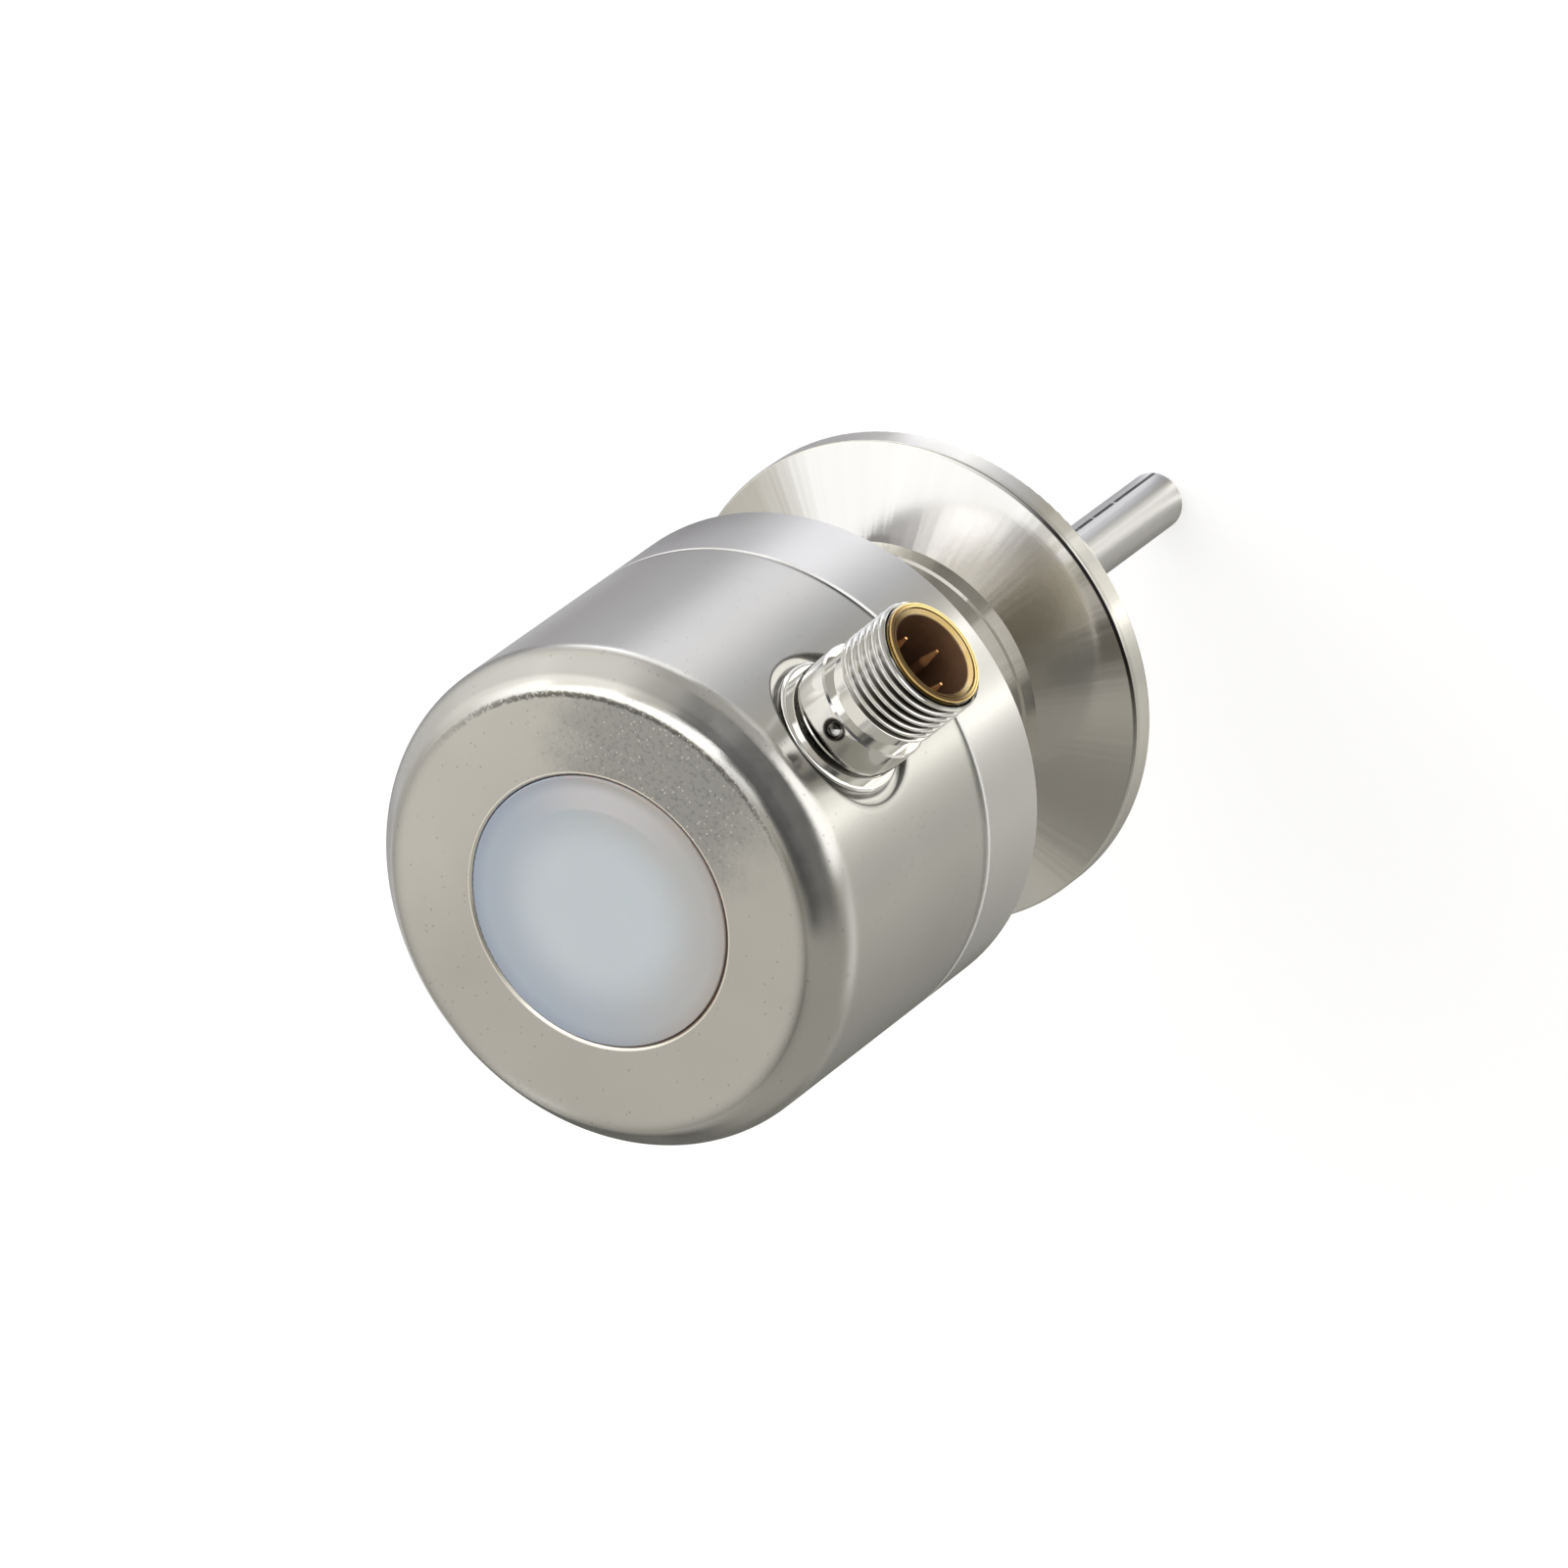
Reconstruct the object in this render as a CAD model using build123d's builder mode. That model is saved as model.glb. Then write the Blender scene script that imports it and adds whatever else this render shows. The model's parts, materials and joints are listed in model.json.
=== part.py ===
from build123d import *
import os
from math import cos, radians, sin, sqrt, tan

# Temperature transmitter with a clamp ferrule, a short probe and a round plug connector.
# Origin at the centre of the clamp's sealing face. +Z runs up the axis to the status
# window, the probe points to -Z and the plug connector to -Y. Millimetres.

# Fits and edges
slide = 0.05
loose = 0.1
edge_break = 0.2
seal_corner = 0.25

# Clamp ferrule and its neck
rim_radius = 25.25
rim_thickness = 2.85
rim_edge = 0.35
ferrule_angle = 20
gasket_groove_radius = 21.75
gasket_groove_depth = 1.5
gasket_groove_mouth = 3.8
gasket_groove_floor = 2.2
band_radius = 16.0
band_height = 2.0
neck_radius = 15.8
neck_top = 23.8
neck_bore = 6.5
stud_radius = 11.0
stud_length = 10.2
probe_seat_height = 6.0

# Probe and its measuring insert
probe_radius = 3.0
probe_length = 50.0
probe_spigot_radius = 2.8
probe_wall = 0.5
probe_tip_wall = 0.8
probe_tip_round = 0.8
probe_stand = 3.0
element_radius = 1.5
element_length = 5.0
element_cover = 0.8
element_to_insulator = 2.5
insulator_radius = 2.3
insulator_stand = 1.0
element_lead_count = 4
element_lead_radius = 0.3
element_lead_offset = 1.05
element_lead_angle = 45
element_lead_bend = 6.0
element_lead_end = 2.8

# Collar ring between the neck and the cover; the housing stands a little proud of the rim
housing_overhang = 0.25
collar_height = 10.3
collar_web = 5.0
spigot_wall = 2.0
spigot_height = 3.5
seam_chamfer = 0.22
housing_seal_section = 1.2
housing_seal_corner = 0.3

# Cover
cover_height = 30.4
cover_wall = 2.0
cover_roof = 1.9
bevel_width = 3.1
crease_angle = 38
bevel_angle = 51.2
shoulder_round = 5.0
bevel_wall_round = 2.8
bezel_width = 11.65
window_hole_chamfer = 0.25

# Nut and seal that hold the ferrule's neck
neck_nut_wall = 2.0
neck_nut_height = 4.0
neck_seal_radius = 13.5
neck_seal_width = 1.8
neck_seal_height = 1.0

# Boards, their posts and their screws
post_count = 3
post_angle = 90
post_flats = 4.4
post_clearance = 0.4
main_board_drop = 9.8
standoff_stud_radius = 1.45
standoff_stud_length = 3.0
board_clearance = 0.4
main_board_thickness = 1.6
led_board_thickness = 1.5
led_board_notch = 19.6
screw_radius = 1.25
screw_head_radius = 2.2
screw_head_height = 1.4
screw_socket_flats = 2.0
screw_socket_depth = 0.8
screw_grip = 5.0

# Status light
led_count = 6
led_circle_radius = 8.5
led_length = 3.4
led_width = 2.8
led_height = 1.3
led_dish_radius = 1.1
led_dish_depth = 0.4
led_dish_taper = 15
reflector_height = 3.6
reflector_foot_step = 0.85
reflector_foot_height = 1.6
reflector_wall = 1.2
window_lip = 1.2
window_lip_width = 2.95
window_edge = 0.15
window_seal_height = 0.8
window_seal_width = 2.2

# Plug connector: heights are measured from the transmitter's axis
connector_drop = 14.9
pocket_radius = 8.2
pocket_depth = 1.6
boss_radius = 9.2
boss_thickness = 3.0
shell_tail_radius = 5.9
shell_tail_length = 8.4
shell_bore = 4.95
shell_flange_radius = 7.1
shell_flange_height = 1.1
shell_flange_round = 0.45
shell_collar_radius = 6.25
shell_collar_height = 5.0
collar_line_height = 1.4
collar_line_width = 0.3
collar_line_depth = 0.15
undercut_radius = 5.45
undercut_length = 2.3
thread_radius = 6.0
thread_length = 6.2
thread_lead = 0.5
dimple_height = 3.7
dimple_ball = 1.0
dimple_depth = 0.75
connector_nut_wall = 1.6
connector_nut_height = 2.5
connector_seal_section = 0.7

# Contact carrier, pins and leads of the plug connector
carrier_rim_radius = 5.4
carrier_rim_height = 0.4
carrier_line_radius = 4.85
carrier_line_width = 0.22
carrier_line_depth = 0.25
socket_radius = 4.3
socket_depth = 9.5
socket_chamfer = 0.4
carrier_floor = 10.0
key_width = 1.2
key_height = 0.5
key_angle = -45
pin_count = 4
pin_circle_radius = 2.7
pin_radius = 0.5
pin_point_length = 2.0
pin_point_taper = 10
pin_inset = 1.6
pin_tail_radius = 0.7
pin_tail_length = 2.5
lead_radius = 0.6
lead_straight = 2.4
lead_bend = 1.2
lead_spacing = 2.5
lead_insertion = 1.5

# Parts on the main board
header_height = 3.7
header_width = 4.6
header_end = 0.75
header_offset = 8.0
sensor_header_size = 8.0
sensor_header_height = 3.0
sensor_lead_offset = 2.2
sensor_lead_insertion = 1.5
chip_size = 7.0
chip_height = 1.1
chip_offset = 6.5
passive_count = 6
passive_length = 2.6
passive_width = 1.5
passive_height = 1.0
passive_circle_radius = 13.5
passive_first = 15
passive_step = 30

# Radii that follow from the sizes above
housing_radius = rim_radius + housing_overhang
cover_bore = housing_radius - cover_wall
spigot_radius = cover_bore - loose
collar_bore = spigot_radius - spigot_wall
window_hole_radius = housing_radius - bezel_width
window_lip_radius = window_hole_radius + window_lip_width
reflector_foot_radius = window_hole_radius + reflector_foot_step
board_radius = collar_bore - board_clearance

# The cover's bevel starts at a crisp crease, steepens over a round shoulder and then runs straight
crease_radius = housing_radius - bevel_width
shoulder_width = shoulder_round * (sin(radians(bevel_angle)) - sin(radians(crease_angle)))
shoulder_drop = shoulder_round * (cos(radians(crease_angle)) - cos(radians(bevel_angle)))
bevel_drop = shoulder_drop + (bevel_width - shoulder_width) * tan(radians(bevel_angle))

# Heights that follow from the sizes above
cone_top = rim_thickness + (rim_radius - band_radius) * tan(radians(ferrule_angle))
band_top = cone_top + band_height
stud_top = neck_top + stud_length
seam = neck_top + collar_height
web_top = neck_top + collar_web
spigot_top = seam + spigot_height
housing_top = seam + cover_height
cover_ceiling = housing_top - cover_roof
connector_z = housing_top - connector_drop
main_board_top = connector_z - main_board_drop
main_board_floor = main_board_top - main_board_thickness
window_lip_top = cover_ceiling - window_seal_height
window_lip_floor = window_lip_top - window_lip
led_board_top = window_lip_floor - reflector_height
led_board_floor = led_board_top - led_board_thickness

# Posts stand just inside the collar's bore, each with a corner towards it
post_corner = post_flats / sqrt(3)
post_circle_radius = collar_bore - post_clearance - post_corner

# Places along the connector's axis
pocket_floor = housing_radius - pocket_depth
boss_face = pocket_floor - boss_thickness
shell_tail_end = pocket_floor - shell_tail_length
flange_top = pocket_floor + shell_flange_height
collar_top = flange_top + shell_collar_height
undercut_top = collar_top + undercut_length
shell_mouth = undercut_top + thread_length
carrier_mouth = shell_mouth + carrier_rim_height
socket_floor = carrier_mouth - socket_depth
carrier_back = socket_floor - carrier_floor
pin_end = carrier_mouth - pin_inset
pin_tail_end = carrier_back - pin_tail_length
header_top = main_board_top + header_height

# Places along the probe
element_floor = probe_tip_wall - probe_length + element_cover
element_top = element_floor + element_length
insulator_floor = element_top + element_to_insulator
probe_top = probe_seat_height + probe_stand
insulator_top = probe_top + insulator_stand
sensor_header_floor = main_board_floor - sensor_header_height

# Looking along the connector's axis from outside: local z is the distance from the axis
connector_plane = Plane(origin=(0, 0, connector_z), x_dir=(1, 0, 0), z_dir=(0, -1, 0))
connector_axis = Axis((0, 0, connector_z), (0, -1, 0))


def rings_at(part, radius, height):
    """Circular edges of a turned part with this radius, at this height."""
    edges = part.edges().filter_by(GeomType.CIRCLE)
    near = edges.filter_by(lambda edge: abs(edge.radius - radius) < 0.01)
    return near.filter_by(lambda edge: abs(edge.center().Z - height) < 0.01)


def rings_out(part, radius, distance):
    """Circular edges round the connector's axis, this far from the transmitter's axis."""
    edges = part.edges().filter_by(GeomType.CIRCLE)
    near = edges.filter_by(lambda edge: abs(edge.radius - radius) < 0.01)
    return near.filter_by(lambda edge: abs(edge.center().Y + distance) < 0.01)


# Space inside the cover, with the flat boss left standing where the connector goes through
with BuildPart() as cover_space:
    with BuildSketch(Plane.XY.offset(seam)):
        Circle(cover_bore)
    extrude(amount=cover_ceiling - seam)
    chamfer(rings_at(cover_space, cover_bore, cover_ceiling), bevel_drop, bevel_width)
    with BuildSketch(connector_plane.offset(boss_face)):
        Circle(boss_radius)
    extrude(amount=housing_radius - boss_face, mode=Mode.SUBTRACT)

# Cover: turned cup with a bevelled top edge, a window hole and a spot-faced side pocket
with BuildPart() as cover:
    with BuildSketch(Plane.XZ):
        with BuildLine():
            shoulder = RadiusArc(
                (crease_radius, housing_top),
                (crease_radius + shoulder_width, housing_top - shoulder_drop),
                shoulder_round,
            )
            Polyline(
                shoulder @ 1,
                (housing_radius, housing_top - bevel_drop),
                (housing_radius, seam),
                (0, seam),
                (0, housing_top),
                shoulder @ 0,
            )
        make_face()
    revolve(axis=Axis.Z)
    fillet(rings_at(cover, housing_radius, housing_top - bevel_drop), bevel_wall_round)
    chamfer(rings_at(cover, housing_radius, seam), seam_chamfer)
    add(cover_space.part, mode=Mode.SUBTRACT)
    with BuildSketch(Plane.XY.offset(cover_ceiling)):
        Circle(window_hole_radius)
    extrude(amount=cover_roof, mode=Mode.SUBTRACT)
    chamfer(rings_at(cover, window_hole_radius, housing_top), window_hole_chamfer)
    with BuildSketch(connector_plane.offset(pocket_floor)):
        Circle(pocket_radius)
    extrude(amount=2 * pocket_depth, mode=Mode.SUBTRACT)
    with BuildSketch(connector_plane.offset(pocket_floor)):
        Circle(shell_tail_radius + connector_seal_section + slide)
    extrude(amount=-connector_seal_section, mode=Mode.SUBTRACT)
    with BuildSketch(connector_plane.offset(boss_face)):
        Circle(shell_tail_radius + slide)
    extrude(amount=boss_thickness, mode=Mode.SUBTRACT)

# Collar ring: closes the cover from below, carries the boards and sits on the neck
with BuildPart() as adapter_ring:
    with BuildSketch(Plane.XZ):
        with BuildLine():
            Polyline(
                (stud_radius + slide, neck_top),
                (housing_radius, neck_top),
                (housing_radius, seam),
                (spigot_radius, seam),
                (spigot_radius, spigot_top),
                (collar_bore, spigot_top),
                (collar_bore, web_top),
                (stud_radius + slide, web_top),
                close=True,
            )
        make_face()
    revolve(axis=Axis.Z)
    chamfer(rings_at(adapter_ring, housing_radius, seam), seam_chamfer)
    chamfer(rings_at(adapter_ring, housing_radius, neck_top), edge_break)
    chamfer(rings_at(adapter_ring, spigot_radius, spigot_top), edge_break)
    with BuildSketch(Plane.XZ):
        with Locations((spigot_radius, (seam + spigot_top) / 2)):
            Rectangle(2 * housing_seal_section, housing_seal_section + 2 * slide)
    revolve(axis=Axis.Z, mode=Mode.SUBTRACT)
    with BuildSketch(Plane.XY.offset(web_top)):
        with PolarLocations(post_circle_radius, post_count, start_angle=post_angle):
            Circle(standoff_stud_radius + slide)
    extrude(amount=-(standoff_stud_length + loose), mode=Mode.SUBTRACT)

# Seal in the groove of the collar ring's spigot
with BuildPart() as housing_seal:
    with BuildSketch(Plane.XZ):
        with Locations((cover_bore - slide - housing_seal_section / 2, (seam + spigot_top) / 2)):
            RectangleRounded(housing_seal_section, housing_seal_section, housing_seal_corner)
    revolve(axis=Axis.Z)

# Clamp ferrule: rim with a gasket groove, tapered back, neck and threaded stud, one turned piece
with BuildPart() as clamp_ferrule:
    with BuildSketch(Plane.XZ):
        with BuildLine():
            Polyline(
                (probe_spigot_radius + slide, 0),
                (rim_radius, 0),
                (rim_radius, rim_thickness),
                (band_radius, cone_top),
                (band_radius, band_top),
                (neck_radius, band_top),
                (neck_radius, neck_top),
                (stud_radius, neck_top),
                (stud_radius, stud_top),
                (neck_bore, stud_top),
                (neck_bore, probe_seat_height),
                (probe_spigot_radius + slide, probe_seat_height),
                close=True,
            )
        make_face()
    revolve(axis=Axis.Z)
    fillet(rings_at(clamp_ferrule, rim_radius, 0), rim_edge)
    fillet(rings_at(clamp_ferrule, rim_radius, rim_thickness), rim_edge)
    chamfer(rings_at(clamp_ferrule, stud_radius, stud_top), 2 * edge_break)
    with BuildSketch(Plane.XZ):
        with BuildLine():
            Polyline(
                (gasket_groove_radius - gasket_groove_mouth / 2, 0),
                (gasket_groove_radius + gasket_groove_mouth / 2, 0),
                (gasket_groove_radius + gasket_groove_floor / 2, gasket_groove_depth),
                (gasket_groove_radius - gasket_groove_floor / 2, gasket_groove_depth),
                close=True,
            )
        make_face()
    revolve(axis=Axis.Z, mode=Mode.SUBTRACT)
    with BuildSketch(Plane.XY.offset(neck_top)):
        Circle(neck_seal_radius + neck_seal_width / 2 + slide)
        Circle(neck_seal_radius - neck_seal_width / 2 - slide, mode=Mode.SUBTRACT)
    extrude(amount=-neck_seal_height, mode=Mode.SUBTRACT)

# Flat seal in the neck's shoulder, pressed by the collar ring
with BuildPart() as neck_seal:
    with BuildSketch(Plane.XZ):
        with Locations((neck_seal_radius, neck_top - neck_seal_height / 2)):
            RectangleRounded(neck_seal_width, neck_seal_height, seal_corner)
    revolve(axis=Axis.Z)

# Hexagon nut on the stud, inside the collar ring
with BuildPart() as neck_nut:
    with BuildSketch(Plane.XY.offset(web_top)):
        RegularPolygon(stud_radius + neck_nut_wall, 6, major_radius=False)
        Circle(stud_radius + slide, mode=Mode.SUBTRACT)
    extrude(amount=neck_nut_height)
    chamfer(rings_at(neck_nut, stud_radius + slide, web_top + neck_nut_height), edge_break)

# Probe: closed tube with a shoulder on the ferrule's face and a spigot in its bore
with BuildPart() as probe_tube:
    with BuildSketch(Plane.XY.offset(-probe_length)):
        Circle(probe_radius)
    extrude(amount=probe_length)
    with BuildSketch():
        Circle(probe_spigot_radius)
    extrude(amount=probe_top)
    fillet(rings_at(probe_tube, probe_radius, -probe_length), probe_tip_round)
    with BuildSketch(Plane.XY.offset(probe_tip_wall - probe_length)):
        Circle(probe_radius - probe_wall)
    extrude(amount=probe_length + probe_top - probe_tip_wall, mode=Mode.SUBTRACT)

# Ceramic measuring element near the probe's tip
with BuildPart() as measuring_element:
    with BuildSketch(Plane.XY.offset(element_floor)):
        Circle(element_radius)
    extrude(amount=element_length)
    fillet(rings_at(measuring_element, element_radius, element_floor), seal_corner)

# Heat-conducting filling between the element and the tube
with BuildPart() as thermal_filler:
    with BuildSketch(Plane.XY.offset(probe_tip_wall - probe_length)):
        Circle(probe_radius - probe_wall - slide)
    extrude(amount=insulator_floor - probe_tip_wall + probe_length)
    with BuildSketch(Plane.XY.offset(element_floor)):
        Circle(element_radius)
    extrude(amount=element_length, mode=Mode.SUBTRACT)
    with BuildSketch(Plane.XY.offset(element_top)):
        with PolarLocations(element_lead_offset, element_lead_count, start_angle=element_lead_angle):
            Circle(element_lead_radius + slide)
    extrude(amount=element_to_insulator, mode=Mode.SUBTRACT)

# Ceramic rod with four bores that leads the wires up the probe
with BuildPart() as element_insulator:
    with BuildSketch(Plane.XY.offset(insulator_floor)):
        Circle(insulator_radius)
        with PolarLocations(element_lead_offset, element_lead_count, start_angle=element_lead_angle):
            Circle(element_lead_radius + slide, mode=Mode.SUBTRACT)
    extrude(amount=insulator_top - insulator_floor)

# Four wires from the element to the header under the main board
with BuildPart() as element_leads:
    for turn in range(element_lead_count):
        lead_turn = element_lead_angle + turn * 360 / element_lead_count
        lead_plane = Plane.XZ.rotated((0, 0, lead_turn))
        with BuildLine(lead_plane) as lead_route:
            FilletPolyline(
                (element_lead_offset, element_top),
                (element_lead_offset, insulator_top + element_lead_end),
                (sensor_lead_offset, sensor_header_floor - element_lead_end),
                (sensor_lead_offset, sensor_header_floor + sensor_lead_insertion),
                radius=element_lead_bend,
            )
        with BuildSketch(Plane(lead_route.line @ 0, z_dir=lead_route.line % 0)):
            Circle(element_lead_radius)
        sweep(path=lead_route.line)

# Posts from the collar ring's web up to the main board
with BuildPart() as board_standoffs:
    with BuildSketch(Plane.XY.offset(web_top)):
        with PolarLocations(post_circle_radius, post_count, start_angle=post_angle):
            RegularPolygon(post_flats / 2, 6, major_radius=False)
    extrude(amount=main_board_floor - web_top)
    with BuildSketch(Plane.XY.offset(web_top)):
        with PolarLocations(post_circle_radius, post_count, start_angle=post_angle):
            Circle(standoff_stud_radius)
    extrude(amount=-standoff_stud_length)
    with BuildSketch(Plane.XY.offset(main_board_floor)):
        with PolarLocations(post_circle_radius, post_count, start_angle=post_angle):
            Circle(screw_radius + slide)
    extrude(amount=-(screw_grip + loose), mode=Mode.SUBTRACT)

# Main circuit board
with BuildPart() as main_board:
    with BuildSketch(Plane.XY.offset(main_board_floor)):
        Circle(board_radius)
        with PolarLocations(post_circle_radius, post_count, start_angle=post_angle):
            Circle(screw_radius + loose, mode=Mode.SUBTRACT)
    extrude(amount=main_board_thickness)

# Sleeves between the two boards
with BuildPart() as board_spacers:
    with BuildSketch(Plane.XY.offset(main_board_top)):
        with PolarLocations(post_circle_radius, post_count, start_angle=post_angle):
            Circle(post_flats / 2)
            Circle(screw_radius + loose, mode=Mode.SUBTRACT)
    extrude(amount=led_board_floor - main_board_top)

# Board with the status lights, cut out over the connector's tail
notch_front = -shell_tail_end + loose
with BuildPart() as led_board:
    with BuildSketch(Plane.XY.offset(led_board_floor)):
        Circle(board_radius)
        with Locations((0, notch_front)):
            Rectangle(
                led_board_notch,
                board_radius,
                align=(Align.CENTER, Align.MAX),
                mode=Mode.SUBTRACT,
            )
        with PolarLocations(post_circle_radius, post_count, start_angle=post_angle):
            Circle(screw_radius + loose, mode=Mode.SUBTRACT)
    extrude(amount=led_board_thickness)

# Screws that hold both boards on the posts
with BuildPart() as board_screws:
    with BuildSketch(Plane.XY.offset(led_board_top)):
        with PolarLocations(post_circle_radius, post_count, start_angle=post_angle):
            Circle(screw_head_radius)
    extrude(amount=screw_head_height)
    chamfer(rings_at(board_screws, screw_head_radius, led_board_top + screw_head_height), edge_break)
    with BuildSketch(Plane.XY.offset(led_board_top + screw_head_height)):
        with PolarLocations(post_circle_radius, post_count, start_angle=post_angle):
            RegularPolygon(screw_socket_flats / 2, 6, major_radius=False)
    extrude(amount=-screw_socket_depth, mode=Mode.SUBTRACT)
    with BuildSketch(Plane.XY.offset(led_board_top)):
        with PolarLocations(post_circle_radius, post_count, start_angle=post_angle):
            Circle(screw_radius)
    extrude(amount=-(led_board_top - main_board_floor + screw_grip))

# Status lights on the upper board
with BuildPart() as status_leds:
    with BuildSketch(Plane.XY.offset(led_board_top)):
        with PolarLocations(led_circle_radius, led_count):
            Rectangle(led_width, led_length)
    extrude(amount=led_height)
    with BuildSketch(Plane.XY.offset(led_board_top + led_height)):
        with PolarLocations(led_circle_radius, led_count):
            Circle(led_dish_radius)
    extrude(amount=-led_dish_depth, taper=led_dish_taper, mode=Mode.SUBTRACT)

# White ring that holds the window up and keeps the light together
with BuildPart() as light_reflector:
    with BuildSketch(Plane.XZ):
        with BuildLine():
            Polyline(
                (reflector_foot_radius - reflector_wall, led_board_top),
                (reflector_foot_radius, led_board_top),
                (reflector_foot_radius, led_board_top + reflector_foot_height),
                (window_lip_radius - edge_break, window_lip_floor - edge_break),
                (window_lip_radius - edge_break, window_lip_floor),
                (window_hole_radius, window_lip_floor),
                close=True,
            )
        make_face()
    revolve(axis=Axis.Z)

# Milky status window, flush with the cover, with a lip under the cover's roof
with BuildPart() as status_window:
    with BuildSketch(Plane.XY.offset(window_lip_floor)):
        Circle(window_lip_radius)
    extrude(amount=window_lip)
    with BuildSketch(Plane.XY.offset(window_lip_top)):
        Circle(window_hole_radius - loose)
    extrude(amount=housing_top - window_lip_top)
    fillet(rings_at(status_window, window_hole_radius - loose, housing_top), window_edge)

# Seal between the window's lip and the cover's roof
window_seal_middle = window_lip_radius - window_seal_width / 2
with BuildPart() as window_seal:
    with BuildSketch(Plane.XZ):
        with Locations((window_seal_middle, window_lip_top + window_seal_height / 2)):
            RectangleRounded(window_seal_width, window_seal_height, seal_corner)
    revolve(axis=Axis.Z)

# Shell of the plug connector: one turned piece from its tail to the threaded mouth
dimple_centre = connector_z + shell_collar_radius + dimple_ball - dimple_depth
with BuildPart() as connector_shell:
    with BuildSketch(Plane.YZ):
        with BuildLine():
            Polyline(
                (-shell_tail_end, connector_z + shell_bore + slide),
                (-shell_tail_end, connector_z + shell_tail_radius),
                (-pocket_floor, connector_z + shell_tail_radius),
                (-pocket_floor, connector_z + shell_flange_radius),
                (-flange_top, connector_z + shell_flange_radius),
                (-flange_top, connector_z + shell_collar_radius),
                (-collar_top, connector_z + shell_collar_radius),
                (-collar_top, connector_z + undercut_radius),
                (-undercut_top, connector_z + undercut_radius),
                (-undercut_top, connector_z + thread_radius),
                (-shell_mouth + thread_lead, connector_z + thread_radius),
                (-shell_mouth, connector_z + thread_radius - thread_lead),
                (-shell_mouth, connector_z + shell_bore + slide),
                close=True,
            )
        make_face()
    revolve(axis=connector_axis)
    fillet(rings_out(connector_shell, shell_flange_radius, flange_top), shell_flange_round)
    chamfer(rings_out(connector_shell, shell_collar_radius, collar_top), edge_break)
    with BuildSketch(Plane.YZ):
        with Locations((-flange_top - collar_line_height, connector_z + shell_collar_radius)):
            Rectangle(collar_line_width, 2 * collar_line_depth)
    revolve(axis=connector_axis, mode=Mode.SUBTRACT)
    with Locations((0, -flange_top - dimple_height, dimple_centre)):
        Sphere(dimple_ball, mode=Mode.SUBTRACT)

# Seal under the shell's flange
with BuildPart() as connector_seal:
    with BuildSketch(connector_plane.offset(pocket_floor)):
        Circle(shell_tail_radius + connector_seal_section)
        Circle(shell_tail_radius + slide, mode=Mode.SUBTRACT)
    extrude(amount=-connector_seal_section)

# Hexagon nut that pulls the shell against the boss
with BuildPart() as connector_nut:
    with BuildSketch(connector_plane.offset(boss_face)):
        RegularPolygon(shell_tail_radius + connector_nut_wall, 6, major_radius=False)
        Circle(shell_tail_radius + slide, mode=Mode.SUBTRACT)
    extrude(amount=-connector_nut_height)

# Contact carrier: moulded insert with a rim on the shell's mouth, a socket and a key
with BuildPart() as contact_carrier:
    with BuildSketch(connector_plane.offset(carrier_back)):
        Circle(shell_bore)
    extrude(amount=shell_mouth - carrier_back)
    with BuildSketch(connector_plane.offset(shell_mouth)):
        Circle(carrier_rim_radius)
    extrude(amount=carrier_rim_height)
    with BuildSketch(connector_plane.offset(socket_floor)):
        Circle(socket_radius)
    extrude(amount=socket_depth, mode=Mode.SUBTRACT)
    chamfer(rings_out(contact_carrier, socket_radius, carrier_mouth), socket_chamfer)
    with BuildSketch(connector_plane.offset(carrier_mouth)):
        Circle(carrier_line_radius + carrier_line_width / 2)
        Circle(carrier_line_radius - carrier_line_width / 2, mode=Mode.SUBTRACT)
    extrude(amount=-carrier_line_depth, mode=Mode.SUBTRACT)
    with BuildSketch(connector_plane.offset(socket_floor)):
        with PolarLocations(socket_radius, 1, start_angle=90 + key_angle):
            Rectangle(2 * key_height, key_width)
    extrude(amount=socket_depth - 2 * pin_inset)
    with BuildSketch(connector_plane.offset(socket_floor)):
        with PolarLocations(pin_circle_radius, pin_count):
            Circle(pin_radius + slide / 2)
    extrude(amount=-carrier_floor, mode=Mode.SUBTRACT)

# Contact pins, pointed at the front and with thicker tails behind the carrier
with BuildPart() as contact_pins:
    with BuildSketch(connector_plane.offset(carrier_back)):
        with PolarLocations(pin_circle_radius, pin_count):
            Circle(pin_radius)
    extrude(amount=pin_end - pin_point_length - carrier_back)
    with BuildSketch(connector_plane.offset(pin_end - pin_point_length)):
        with PolarLocations(pin_circle_radius, pin_count):
            Circle(pin_radius)
    extrude(amount=pin_point_length, taper=pin_point_taper)
    with BuildSketch(connector_plane.offset(carrier_back)):
        with PolarLocations(pin_circle_radius, pin_count):
            Circle(pin_tail_radius)
    extrude(amount=-pin_tail_length)

# Four wires from the pins down to the header on the main board
# Each row: the pin's side and height on its circle, and the header's place
lead_rows = [(-1, 0, -1.5), (0, -1, -0.5), (0, 1, 0.5), (1, 0, 1.5)]
with BuildPart() as connector_leads:
    for side, height, place in lead_rows:
        start_x = side * pin_circle_radius
        start_z = connector_z + height * pin_circle_radius
        end_x = place * lead_spacing
        with BuildLine() as lead_route:
            FilletPolyline(
                (start_x, -pin_tail_end, start_z),
                (start_x, -pin_tail_end + lead_straight, start_z),
                (end_x, -header_offset, start_z - lead_straight),
                (end_x, -header_offset, header_top - lead_insertion),
                radius=lead_bend,
            )
        with BuildSketch(Plane(lead_route.line @ 0, z_dir=lead_route.line % 0)):
            Circle(lead_radius)
        sweep(path=lead_route.line)

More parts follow.
